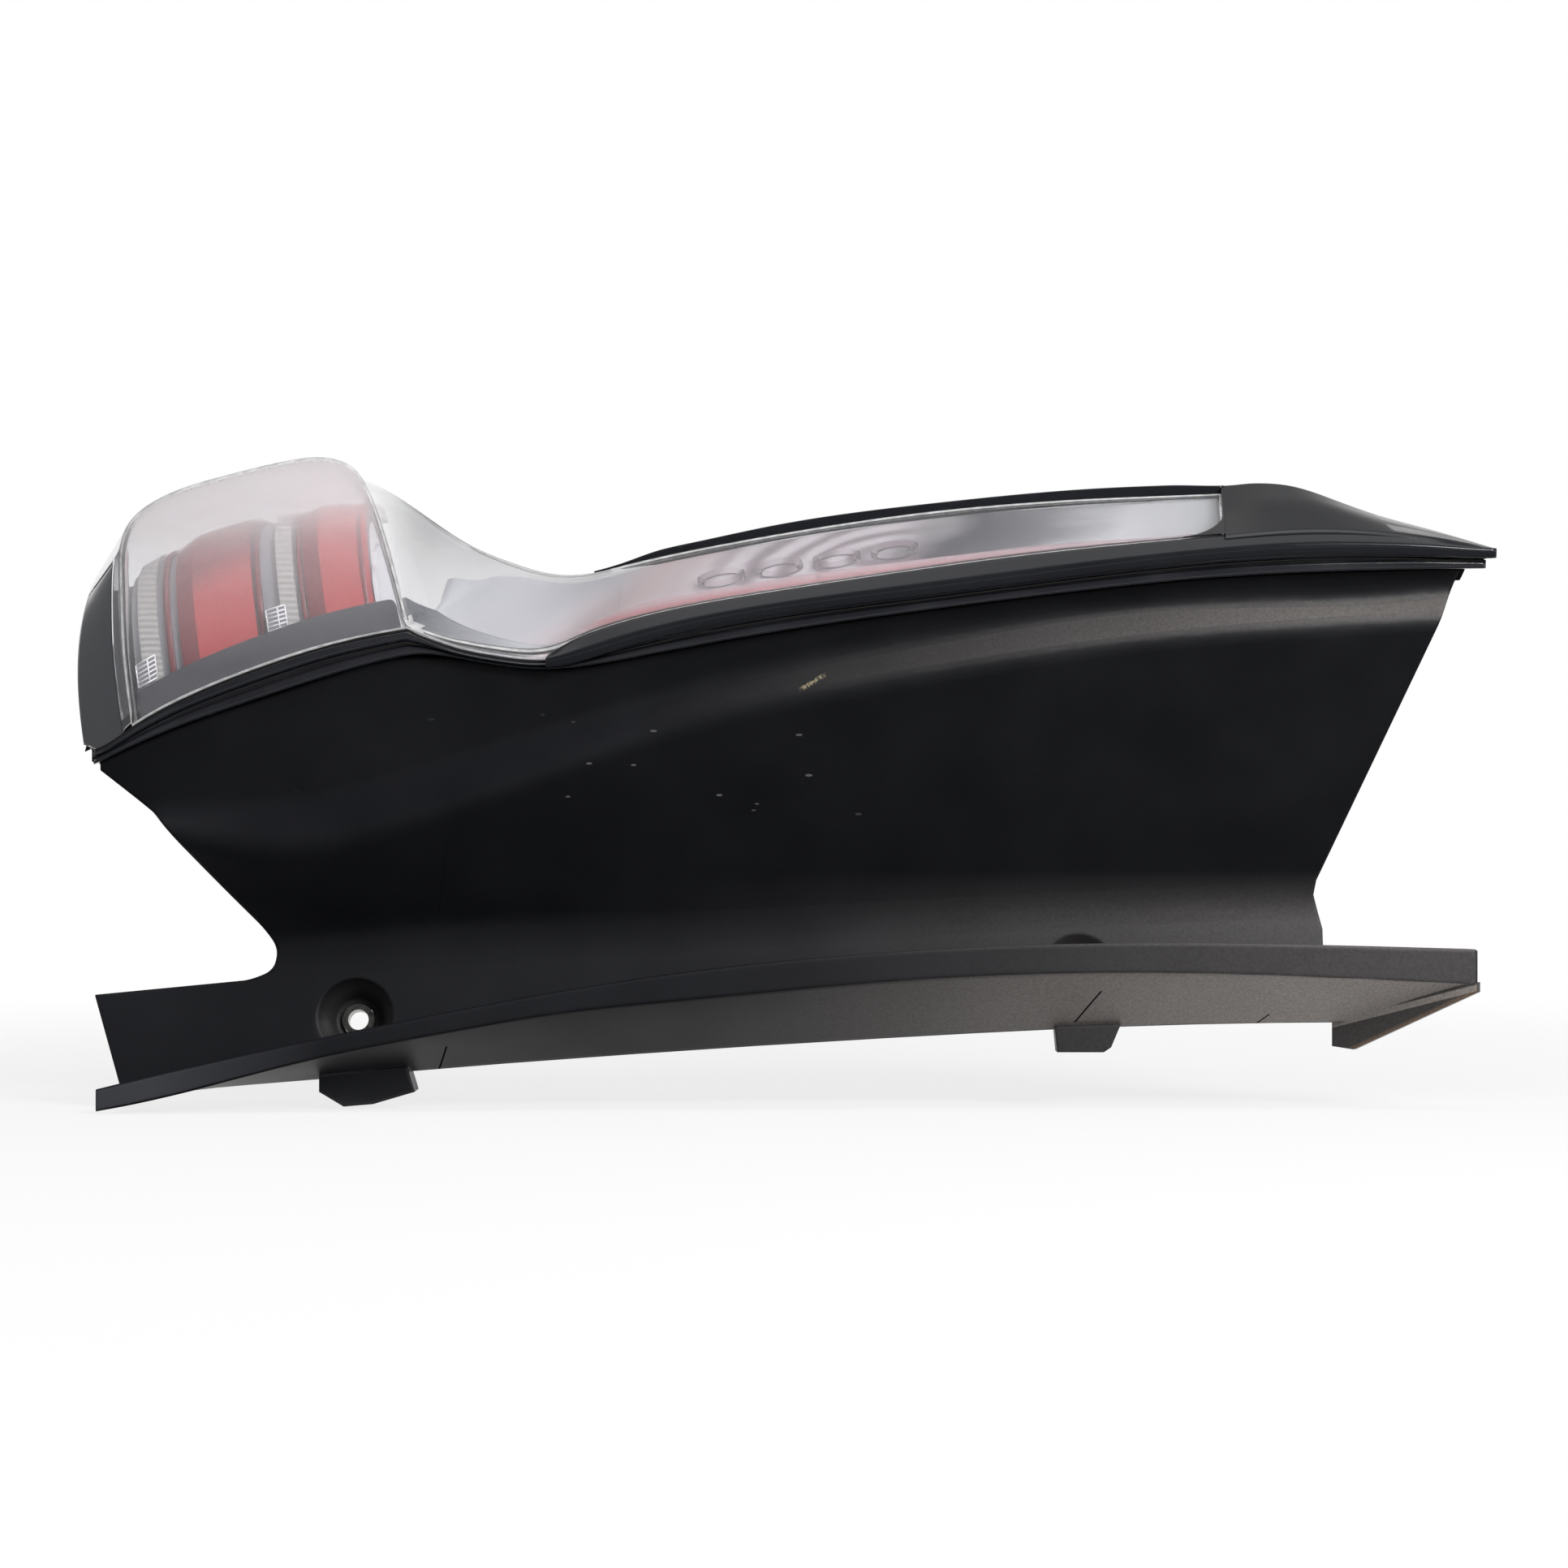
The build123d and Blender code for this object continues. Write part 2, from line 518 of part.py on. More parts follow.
nodes["panel_screws"] = Part() + panel_screws

# Sleeve in the screw dish
sleeve = Cylinder(BUSH_R, BUSH_LENGTH, align=base) - Cylinder(SCREW_R, BUSH_LENGTH, align=base)
nodes["screw_bush"] = seat * Pos(0, 0, BUSH_PROUD - BUSH_LENGTH) * sleeve


# Carrier, bars and guides behind the near face of the cube
def cube_z(x, rise):
    """Height over the lens line, pressed down towards the crease."""
    share = (x - CARRIER_SPAN[0]) / (CARRIER_SPAN[1] - CARRIER_SPAN[0])
    return rim(x) + rise * (1 - 0.15 * share * share)


def leaning(x, line):
    """The (Y, rise) points at x, leaning back along the length as they rise."""
    return [(x - LEAN * rise / 60, y, cube_z(x, rise)) for y, rise in line]


def band_wire(x, outer, inner):
    """Closed wire at x between two smooth lines that run the same way."""
    out = Spline(*leaning(x, outer))
    back = Spline(*leaning(x, list(reversed(inner))))
    return Wire([out, Line(out @ 1, back @ 0), back, Line(back @ 1, out @ 0)])


def even(span, count):
    return [span[0] + (span[1] - span[0]) * i / (count - 1) for i in range(count)]


def leaning_block(points, span):
    """Ruled solid between two leaning polygons."""
    ends = [Wire.make_polygon(leaning(x, points), close=True) for x in span]
    return Solid.make_loft(ends, True)


def offset_line(points, out):
    return [(y - d[0] * out, z + d[1] * out) for (y, z), d in zip(points, CARRIER_OUT)]


CARRIER_OUT = [(1, 0), (1, 0.1), (0.88, 0.47), (0.6, 0.8), (0.3, 0.95), (0.05, 1), (0, 1)]
sill_y = LENS_NEAR + LENS_WALL + 1
sill_low = [(sill_y + 2.2, SILL_TOP - 2.2), (sill_y + 2.2, 1), (sill_y, 1), (sill_y, SILL_TOP)]


def carrier_wire(x):
    """Sill as an angle under the carrier's smooth curve."""
    out = Spline(*leaning(x, CARRIER))
    back = Spline(*leaning(x, list(reversed(offset_line(CARRIER, -2.4)))))
    corners = leaning(x, sill_low)
    foot = [Line(back @ 1, corners[0])] + [Line(corners[i], corners[i + 1]) for i in range(3)]
    return Wire([out, Line(out @ 1, back @ 0), back] + foot + [Line(corners[3], out @ 0)])


carrier = Solid.make_loft([carrier_wire(x) for x in even(CARRIER_SPAN, 13)])
bezel_return = prism_z([(-87.5, -10), (-89.5, -10), (-110, 44), (-108, 44)], 127, 179)
nodes["inner_bezel"] = carrier + bezel_return


def bar_wire(x, thick):
    """Band of a thickness on the carrier's curve, standing on the sill."""
    low = offset_line(CARRIER, FIT)
    high = offset_line(CARRIER, FIT + thick)
    low[0] = (low[0][0], SILL_TOP + FIT)
    high[0] = (high[0][0], SILL_TOP + FIT)
    return band_wire(x, high, low)


for name, span in BAR_SPANS.items():
    flank_end = span[0] + FLANK_RUN
    wires = [bar_wire(span[0], BAR_FLANK)] + [bar_wire(x, BAR_THICK) for x in even((flank_end, span[1]), 4)]
    nodes[name] = Solid.make_loft(wires, True)
for name, span in GUIDE_SPANS.items():
    thick = BAR_THICK - GUIDE_EXTRA
    nodes[name] = Solid.make_loft([bar_wire(x, thick) for x in even(span, 3)], True)
    prism_out = CARRIER[0][0] - thick - 2 * FIT
    prism = [(prism_out - 1.8, 13), (prism_out - 1.8, 22), (prism_out, 22), (prism_out, 13)]
    mid = PRISM_MID[name]
    label = name.replace("light_guide", "inlet_prism")
    nodes[label] = leaning_block(prism, (mid - 3.8, mid + 3.8))

cheek = [(sill_y, 0.6), (sill_y, 26), (-20, 40), (6, 47), (40, 50), (40, 0.6)]
nodes["bezel_cheek"] = leaning_block(cheek, (CARRIER_SPAN[1] + FIT, CARRIER_SPAN[1] + 2.2))


# Tray, red inner lens and rings behind the arm lens
def tray_section(x):
    near = RIM_INNER + 0.4
    far = LENS_FAR - LENS_WALL - 0.6
    drop = 7 + 3 * min(1, max(0, (x - 78) / 12))
    tops = [(near, lens_surface(x, near) - drop), (far, lens_surface(x, far) - TRAY_FAR_DROP)]
    return tops + [(far, tops[1][1] - 2.4), (near, tops[0][1] - 2.4)]


def tray_top(x, y):
    (y0, z0), (y1, z1) = tray_section(x)[:2]
    return z0 + (z1 - z0) * (y - y0) / (y1 - y0)


def inner_lens_section(x):
    near = LENS_NEAR + LENS_WALL + 0.6
    leg = RIM_INNER + 4
    far = -8 - 12 * abs(x - 118) / (26 if x < 118 else 224)
    return [(near, lens_surface(x, near) - 4.2), (far, lens_surface(x, far) - 4.6),
            (far, lens_surface(x, far) - 6.6), (leg + 2.4, lens_surface(x, leg) - 6.2),
            (leg + 2.4, tray_top(x, leg + 2.4) + 2 * FIT), (leg, tray_top(x, leg) + 2 * FIT),
            (leg, lens_surface(x, leg) - 6.2), (near, lens_surface(x, near) - 6)]


valley_stations = [TRAY_START, 38, 50, 62, 75, 82, 90, 96, 102, 108]
arm_stations = [108, 135, 170, 215, 265, 305, 344]
tray = loft_along(tray_section, valley_stations) + loft_along(tray_section, arm_stations)
nodes["arm_reflector"] = tray
nodes["arm_inner_lens"] = loft_along(inner_lens_section, [94, 99, 104, 111, 118, 135, 170, 215, 265, 305, 342])
rings = []
for i in range(4):
    x = 150 + 24 * i
    fall = (tray_top(x + 10, 14) - tray_top(x - 10, 14)) / 20
    tilt = (tray_top(x, 24) - tray_top(x, 4)) / 20
    spot = Plane(origin=(x, 14, tray_top(x, 14) + FIT), x_dir=(1, 0, fall), z_dir=(-fall, -tilt, 1))
    ring_body = Cylinder(10, 2.4, align=base) - Cylinder(7.6, 2.4, align=base)
    rings.append(spot * ring_body)
nodes["arm_optics"] = Part() + rings


# Boards on posts that stand on the tub floor
def board_plane(span):
    z0 = rim(span[0]) - BOARD_DROP
    z1 = rim(span[1]) - BOARD_DROP
    run = (span[1] - span[0], 0, z1 - z0)
    mid = ((span[0] + span[1]) / 2, (BOARD_Y[0] + BOARD_Y[1]) / 2, (z0 + z1) / 2)
    return Plane(origin=mid, x_dir=run, z_dir=(-(z1 - z0), 0, span[1] - span[0]))


posts = []
post_holes = []
board_screws = []
board_wide = BOARD_Y[1] - BOARD_Y[0]
for span, board_name, led_name, led_count in ((CUBE_BOARD_X, "cube_led_board", "cube_leds", 6),
                                              (ARM_BOARD_X, "arm_led_board", "arm_leds", 12)):
    plane = board_plane(span)
    long = ((span[1] - span[0]) ** 2 + (rim(span[1]) - rim(span[0])) ** 2) ** 0.5
    board = Box(long, board_wide, BOARD_THICK, align=base)
    for end in (-1, 1):
        place = Pos(end * (long / 2 - 8), 0, 0)
        board = board - place * Cylinder(1.8, BOARD_THICK, align=base)
        posts.append(plane * place * Pos(0, 0, -60) * Cylinder(4, 60 - FIT, align=base))
        post_holes.append(plane * place * Pos(0, 0, -7) * Cylinder(1.7, 8, align=base))
        shank = Pos(0, 0, -6) * Cylinder(1.5, 6 + BOARD_THICK, align=base)
        head = Pos(0, 0, BOARD_THICK) * Cylinder(3, 2.2, align=base)
        board_screws.append(plane * place * (shank + head))
    pitch = (long - 40) / (led_count - 1)
    leds = []
    for i in range(led_count):
        spot = Pos(-(long - 40) / 2 + pitch * i, -board_wide / 4, BOARD_THICK)
        leds.append(plane * spot * Box(LED_SIZE, LED_SIZE, 1.2, align=base))
    nodes[board_name] = plane * board
    nodes[led_name] = Part() + leds
nodes["board_screws"] = Part() + board_screws

sink_plane = board_plane(CUBE_BOARD_X)
sink = Pos(0, 0, -FIT - 2) * Box(38, board_wide - 8, 2, align=base)
for i in range(6):
    sink = sink + Pos(-17 + 6.8 * i, 0, -FIT - 9) * Box(1.6, board_wide - 8, 7.2, align=base)
nodes["board_heat_sink"] = sink_plane * sink

floor_guard = loft_along(lambda x: [(-60, 0), (-60, tub_floor(x) + 1), (90, tub_floor(x) + 1), (90, 0)],
                         left_stations)
floor_guard_arm = loft_along(lambda x: [(-60, 0), (-60, tub_floor(x) + 1), (90, tub_floor(x) + 1),
                                        (90, 0)], right_stations)
posts = Part() + posts - floor_guard - floor_guard_arm
housing = housing + posts + ears - (Part() + post_holes) - (Part() + ear_holes)

# Upright ribs outside the far wall of the tub
ribs = []
for x in RIB_X:
    half = RIB_THICK / 2
    ribs.append(block(x - half, x + half, TUB_FAR - 1, TUB_FAR + RIB_PROUD, tub_floor(x) + 5, rim(x) - 8))
nodes["lamp_housing"] = housing + ribs

# Far wall: socket, its seal, guide pins and vent caps
wall = TUB_FAR + FIT
socket_z = (rim(SOCKET_X) + tub_floor(SOCKET_X)) / 2 - 4
half_w = SOCKET_W / 2
half_h = SOCKET_H / 2
flange = block(SOCKET_X - half_w - 4, SOCKET_X + half_w + 4, wall, wall + 2, socket_z - half_h - 4,
               socket_z + half_h + 4)
shroud = block(SOCKET_X - half_w, SOCKET_X + half_w, wall, wall + SOCKET_DEPTH, socket_z - half_h,
               socket_z + half_h)
shroud_in = block(SOCKET_X - half_w + 1.8, SOCKET_X + half_w - 1.8, wall + 2, wall + SOCKET_DEPTH + 1,
                  socket_z - half_h + 1.8, socket_z + half_h - 1.8)
nodes["connector_socket"] = flange + shroud - shroud_in
blades = []
for i in range(6):
    x = SOCKET_X + (i - 2.5) * (SOCKET_W - 8) / 6
    blades.append(block(x - 0.4, x + 0.4, wall + 2, wall + 12, socket_z - 1.2, socket_z + 1.2))
nodes["connector_pins"] = Part() + blades
seal = block(SOCKET_X - half_w - 12, SOCKET_X + half_w + 12, wall, wall + 6, socket_z - half_h - 9,
             socket_z + half_h + 9)
seal_in = block(SOCKET_X - half_w - 4.4, SOCKET_X + half_w + 4.4, wall - 1, wall + 7,
                socket_z - half_h - 4.4, socket_z + half_h + 4.4)
nodes["socket_seal"] = seal - seal_in

for name, x in zip(("guide_pin_lower", "guide_pin_upper"), PIN_X):
    z = (rim(x) + tub_floor(x)) / 2
    collar = rod(PIN_R * 2, x, z, wall, wall + 2.5)
    stem = rod(PIN_R, x, z, wall, wall + 2.5 + PIN_LENGTH)
    tip_edge = stem.edges().filter_by(GeomType.CIRCLE).sort_by(Axis.Y)[-1]
    nodes[name] = collar + chamfer(tip_edge, 1.2)

vents = []
for x in VENT_X:
    z = (rim(x) + tub_floor(x)) / 2
    cap = rod(VENT_R, x, z, wall, wall + 4) + rod(VENT_R - 2.5, x, z, wall, wall + 6)
    vents.append(cap)
nodes["vent_caps"] = Part() + vents

os.makedirs("parts", exist_ok=True)
for name, shape in nodes.items():
    export_step(shape, "parts/" + name + ".step")
    print(name, len(shape.solids()), round(shape.volume))
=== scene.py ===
"""Looks of the tail light cluster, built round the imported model."""
import json

import bpy
import numpy as np
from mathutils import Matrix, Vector


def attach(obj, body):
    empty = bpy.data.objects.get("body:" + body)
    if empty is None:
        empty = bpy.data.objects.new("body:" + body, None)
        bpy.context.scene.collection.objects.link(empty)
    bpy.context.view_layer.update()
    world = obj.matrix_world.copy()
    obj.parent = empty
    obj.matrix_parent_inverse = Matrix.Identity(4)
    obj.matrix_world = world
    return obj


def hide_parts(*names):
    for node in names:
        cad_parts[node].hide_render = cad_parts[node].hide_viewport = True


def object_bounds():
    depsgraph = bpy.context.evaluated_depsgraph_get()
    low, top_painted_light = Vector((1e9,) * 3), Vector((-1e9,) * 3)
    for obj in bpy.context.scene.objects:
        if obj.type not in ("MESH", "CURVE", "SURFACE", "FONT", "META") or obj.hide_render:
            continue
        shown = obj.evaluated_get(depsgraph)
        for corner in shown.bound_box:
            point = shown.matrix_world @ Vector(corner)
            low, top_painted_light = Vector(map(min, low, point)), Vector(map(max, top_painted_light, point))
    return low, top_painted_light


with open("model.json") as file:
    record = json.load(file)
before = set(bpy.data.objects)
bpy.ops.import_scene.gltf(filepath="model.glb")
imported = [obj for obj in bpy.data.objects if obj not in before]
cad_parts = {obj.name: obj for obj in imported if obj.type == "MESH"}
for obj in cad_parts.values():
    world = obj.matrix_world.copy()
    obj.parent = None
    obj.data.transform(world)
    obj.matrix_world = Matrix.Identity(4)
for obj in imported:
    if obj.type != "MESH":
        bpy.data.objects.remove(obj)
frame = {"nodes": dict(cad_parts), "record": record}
cad_low, cad_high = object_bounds()
nodes = frame["nodes"]
scene = bpy.context.scene
scene.view_settings.view_transform = "Standard"

# Outlines of the lamp in millimetres, the same as the solids have
CUBE_NEAR = [(-86.5, 121.7), (-90, 150), (-91.2, 180), (-88, 202), (-74, 213.3), (-48, 222),
             (-22, 228), (-8, 228.8), (2, 225), (9, 214), (16, 193), (24, 161.5)]
CUBE_FAR = [(-124, 104), (-128, 140), (-126, 168), (-116, 192), (-97, 206), (-68, 217),
            (-38, 226), (-12, 229.5), (8, 222), (26, 210), (44, 199), (62, 192)]
ARM_NEAR = [(24, 161.5), (36, 157.2), (50, 154), (63, 152), (78, 151.6), (95, 157.5),
            (121, 165.6), (168, 174.5), (228, 183.6), (280, 190.5), (352, 197.5)]
ARM_FAR = [(62, 192), (72, 189), (82, 187.7), (92, 188.3), (107, 191.8), (125, 196),
           (150, 201), (190, 208), (240, 215), (290, 219.3), (352, 222.5)]
RIM_CUBE = [(-135, 117), (-116, 112.2), (-102, 111.5), (-88, 119.5), (-74, 128), (-42, 142),
            (-9, 153), (24, 160)]
RIM_ARM = [(24, 160), (43, 152.5), (60, 149), (80, 147.5), (108, 154.5), (168, 168),
           (228, 176), (290, 184), (347, 190.5), (390, 193), (425, 192.8), (470, 190.6)]
PANEL_TOP = [(-112, 100), (-75, 117.5), (-42, 129.5), (-10, 140), (17, 147.5), (30, 149.4),
             (43, 148), (62, 144.7), (78, 143.3), (95, 144.6), (121, 149.2), (168, 157.7),
             (228, 166.5), (285, 173.7), (334, 179), (390, 182.5), (470, 184)]
FAR_TOP = [(94, 188.9), (106, 192.4), (120, 197.4), (135, 201), (170, 208.4), (240, 218.2),
           (310, 224.5), (352, 226.2), (374, 227)]
TIP_NEAR_Z = [(352, 197.5), (372, 199.3), (391, 200), (423, 198.3), (445, 195.2), (461, 192)]
TIP_FAR_Z = [(352, 226.2), (372, 227), (391, 224.5), (408, 216.5), (423, 209), (440, 202),
             (461, 192.6)]
TIP_FAR_Y = [(352, 64), (372, 62.5), (391, 45), (408, 26), (423, 9), (440, -11), (461, -37)]
CARRIER = [(-31.5, 10.5), (-30.5, 24), (-26, 40), (-17, 52), (-4, 59), (20, 62), (44, 62)]
CARRIER_OUT = [(1, 0), (1, 0.1), (0.88, 0.47), (0.6, 0.8), (0.3, 0.95), (0.05, 1), (0, 1)]
CARRIER_SPAN = (-83.4, 13.0)
LEAN = 8.0
SILL_TOP = 10.5
# Lens: depths of its two outlines, wall, place of the crease, end of its window, and the slant of that
# end at the far side with the run over which it eases in
LENS_NEAR = -40.0
LENS_FAR = 60.0
LENS_DEPTH = LENS_FAR - LENS_NEAR
LENS_WALL = 2.8
KINK_X = 24.0
LENS_END = 352.0
SLANT = 11.0
SLANT_RUN = 56.0
# Bezel: start of the near strip, run of its lead-in, tip, and the play between neighbours
ARM_START = 80.0
STRIP_LEAD = 14.0
TIP_END = 461.0
FIT = 0.2
# Rings of the arm in metres: places of the first and last, pitch and depth
RING_FIRST = 0.15
RING_PITCH = 0.024
RING_LAST = RING_FIRST + 3 * RING_PITCH
RING_DEPTH = 0.0138
# Marks on the side panel in metres. A seam of the web has x and y of a point, x for each y, and the
# middle and half of its stretch along y. A line of the end rib has z for each x and its z at x = 0
WEB_SEAMS = ((0.293, -0.014, -0.64, -0.0235, 0.0075), (0.368, -0.012, -0.9, -0.015, 0.003),
             (0.034, -0.012, -0.28, -0.02, 0.01))
RIB_TOP = (0.3208, -0.1296)
RIB_FOOT = (0.5547, -0.237)
RIB_START = 0.4
LIP_FACE = -0.0395
DISH_RADIUS = 0.0175
SCRATCH = (0.187, 0, 0.1385)
SCRATCH_TURN = np.radians(31)


def natural(points, at):
    """Natural cubic through (knot, value) points: the bends solve a three-band system, then each
    span is a cubic of the two values and the two bends at its ends."""
    knots, values = np.asarray(points, float).T
    step = np.diff(knots)
    size = len(knots)
    inner = np.arange(1, size - 1)
    band = np.eye(size)
    band[inner, inner - 1] = step[:-1]
    band[inner, inner] = 2 * (step[:-1] + step[1:])
    band[inner, inner + 1] = step[1:]
    side = np.zeros(size)
    side[1:-1] = 6 * np.diff(np.diff(values) / step)
    bend = np.linalg.solve(band, side)
    i = np.clip(np.searchsorted(knots, at) - 1, 0, size - 2)
    h = step[i]
    a = (knots[i + 1] - at) / h
    b = (at - knots[i]) / h
    cubic = ((a ** 3 - a) * bend[i] + (b ** 3 - b) * bend[i + 1]) * h * h / 6
    return a * values[i] + b * values[i + 1] + cubic


def traced(points, at):
    """Smooth line through points of two coordinates: each is a natural cubic of the share of the
    chord length run so far."""
    points = np.asarray(points, float)
    run = np.concatenate([[0], np.cumsum(np.hypot(*np.diff(points, axis=0).T))])
    share = run / run[-1]
    return np.stack([natural(np.stack([share, points[:, k]], 1), at) for k in (0, 1)], -1)


def rim(x):
    """Height of the line on which the lens stands, with a kink at the crease."""
    return np.where(x <= KINK_X, natural(RIM_CUBE, x), natural(RIM_ARM, x))


def at_depth(line, y):
    """(X, Z) points set at a depth y."""
    return np.stack([line[:, 0], np.broadcast_to(y, len(line)), line[:, 1]], -1)


def smooth(share):
    """Ease in and out from 0 to 1: 3 s^2 - 2 s^3."""
    share = np.clip(share, 0, 1)
    return share * share * (3 - 2 * share)


def slanted(grid):
    """Points near the end of the lens window moved along x by up to SLANT at the far side, eased to
    nothing over SLANT_RUN before the end and over half of it behind the end."""
    x = grid[..., 0]
    before = smooth((x - LENS_END) / SLANT_RUN + 1)
    behind = smooth((LENS_END + 1 - x) / (0.5 * SLANT_RUN) + 1)
    deep = np.clip((grid[..., 1] - LENS_NEAR) / LENS_DEPTH, 0, 1)
    moved = grid.copy()
    moved[..., 0] = x + SLANT * np.minimum(before, behind) * deep
    return moved


def quads(rows, cols, wrap, first=0):
    """Corner numbers of the cells of a grid, each cell from four neighbouring points."""
    r, c = np.meshgrid(np.arange(rows - 1), np.arange(cols if wrap else cols - 1), indexing="ij")
    right = (c + 1) % cols
    cells = np.stack([r * cols + c, r * cols + right, (r + 1) * cols + right, (r + 1) * cols + c], -1)
    return cells.reshape(-1, 4) + first


def piece(name, points, faces, finish, slot):
    """Smooth mesh from points in millimetres, riding on the lamp."""
    mesh = bpy.data.meshes.new(name)
    mesh.from_pydata(np.asarray(points).reshape(-1, 3) / 1000, [], [list(map(int, f)) for f in faces])
    mesh.polygons.foreach_set("use_smooth", np.ones(len(mesh.polygons), bool))
    mesh.materials.append(finish)
    made = bpy.data.objects.new(name, mesh)
    scene.collection.objects.link(made)
    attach(made, "root")
    return made


def thicken(made, wall_mm):
    """Wall behind the outer face of an open sheet."""
    wall = made.modifiers.new("wall", "SOLIDIFY")
    wall.thickness = wall_mm / 1000
    wall.offset = -1


def eased(start, corner, end, count):
    """Bow from start to end that leans to the corner: weights (1-w)^2, 2w(1-w) and w^2."""
    w = np.linspace(0, 1, count)[None, :, None]
    return (1 - w) ** 2 * start[:, None] + 2 * w * (1 - w) * corner[:, None] + w ** 2 * end[:, None]


def straight(start, end, count):
    """Evenly spaced points from start up to, but without, end."""
    w = np.linspace(0, 1, count, endpoint=False)[None, :, None]
    return (1 - w) * start[:, None] + w * end[:, None]


def towards(start, end, reach):
    """Point at a distance from start on the way to end, at most 45 percent of the way."""
    way = end - start
    far = np.linalg.norm(way, axis=-1, keepdims=True)
    return start + way * np.minimum(reach / np.maximum(far, 1e-9), 0.45)


def rounded_loft(x, corners, radius, steps=5):
    """Closed section carried along x: every (Y, Z) corner gives way to a bow between two points at
    the radius from it on its two sides, with one more point further out to keep the flats flat.
    A section whose area counts as negative is walked the other way round, so faces look out."""
    x = np.asarray(x, float)
    corners = np.stack([np.stack(np.broadcast_arrays(*pair, x)[:2], -1) for pair in corners], 1)
    radius = np.broadcast_to(np.asarray(radius, float), corners.shape[1])
    y, z = corners.mean(0).T
    if np.sum(y * np.roll(z, -1) - z * np.roll(y, -1)) < 0:
        corners = corners[:, ::-1]
        radius = radius[::-1]
    radius = radius[None, :, None]
    back = np.roll(corners, 1, 1)
    ahead = np.roll(corners, -1, 1)
    start = towards(corners, back, radius)
    end = towards(corners, ahead, radius)
    w = np.linspace(0, 1, steps)[None, None, :, None]
    bow = (1 - w) ** 2 * start[:, :, None] + 2 * w * (1 - w) * corners[:, :, None] + w ** 2 * end[:, :, None]
    outer = np.stack([towards(corners, back, 1.5 * radius), towards(corners, ahead, 1.5 * radius)], 2)
    section = np.concatenate([outer[:, :, :1], bow, outer[:, :, 1:]], 2).reshape(len(x), -1, 2)
    return np.concatenate([np.broadcast_to(x[:, None, None], section.shape[:2] + (1,)), section], -1)


def closed_loft(grids):
    """Points and faces of one or more closed lofts, with a face over each end."""
    points = []
    faces = []
    first = 0
    for grid in grids:
        rows, cols = grid.shape[:2]
        points.append(grid.reshape(-1, 3))
        faces.extend(quads(rows, cols, True, first))
        faces.append(np.arange(cols)[::-1] + first)
        faces.append(np.arange(cols) + first + (rows - 1) * cols)
        first += rows * cols
    return np.concatenate(points), faces


# Colours and nodes
def linear(code):
    """Colour of an sRGB hex code as linear red, green, blue and full alpha."""
    parts = [int(code[i:i + 2], 16) / 255 for i in (1, 3, 5)]
    return [c / 12.92 if c <= 0.04045 else ((c + 0.055) / 1.055) ** 2.4 for c in parts] + [1]


def per_metre(*sizes_mm):
    """Repeats in a metre of a pattern of a size in millimetres, or of one size along each axis."""
    repeats = [1000 / size for size in sizes_mm]
    return repeats if len(repeats) > 1 else repeats[0]


def waves(pitch_mm):
    """Scale of a wave texture with a pitch in millimetres: at scale 1 its pitch is 2 pi / 20 units."""
    return np.pi / 10 * 1000 / pitch_mm


def add(tree, kind, values=None, **settings):
    """New node of a kind, with its settings, and its sockets set to a value or linked to a socket."""
    node = tree.nodes.new("ShaderNode" + kind)
    for name, value in settings.items():
        setattr(node, name, value)
    for key, value in (values or {}).items():
        if isinstance(value, bpy.types.Node):
            value = value.outputs[0]
        if isinstance(value, bpy.types.NodeSocket):
            tree.links.new(value, node.inputs[key])
        else:
            node.inputs[key].default_value = value
    return node


def blank(name):
    """Empty material, its node tree and the coordinates of the lamp in metres."""
    made = bpy.data.materials.new(name)
    made.use_nodes = True
    tree = made.node_tree
    tree.nodes.clear()
    place = add(tree, "TexCoord").outputs["Object"]
    return made, tree, place


def moulded(name, dark, light, rough, grain_mm, depth_mm, cloud_mm=30, spread=0.08, **sockets):
    """Moulded plastic: two near shades in soft clouds, roughness that wanders with them, and the
    grain of the mould as bump."""
    made, tree, place = blank(name)
    clouds = add(tree, "TexNoise", {"Vector": place, "Scale": per_metre(cloud_mm), "Detail": 4.0})
    tint = add(tree, "Mix", {0: clouds, 6: linear(dark), 7: linear(light)}, data_type="RGBA")
    wander = add(tree, "MapRange", {0: clouds, 1: 0.3, 2: 0.7, 3: rough - spread, 4: rough + spread})
    grain = add(tree, "TexNoise", {"Vector": place, "Scale": per_metre(grain_mm), "Detail": 2.0})
    bump = add(tree, "Bump", {"Height": grain, "Distance": depth_mm / 1000, "Strength": 0.6})
    shader = add(tree, "BsdfPrincipled", {"Base Color": tint.outputs[2], "Roughness": wander, "Normal": bump})
    for socket, value in sockets.items():
        shader.inputs[socket.replace("_", " ")].default_value = value
    add(tree, "OutputMaterial", {0: shader})
    return made


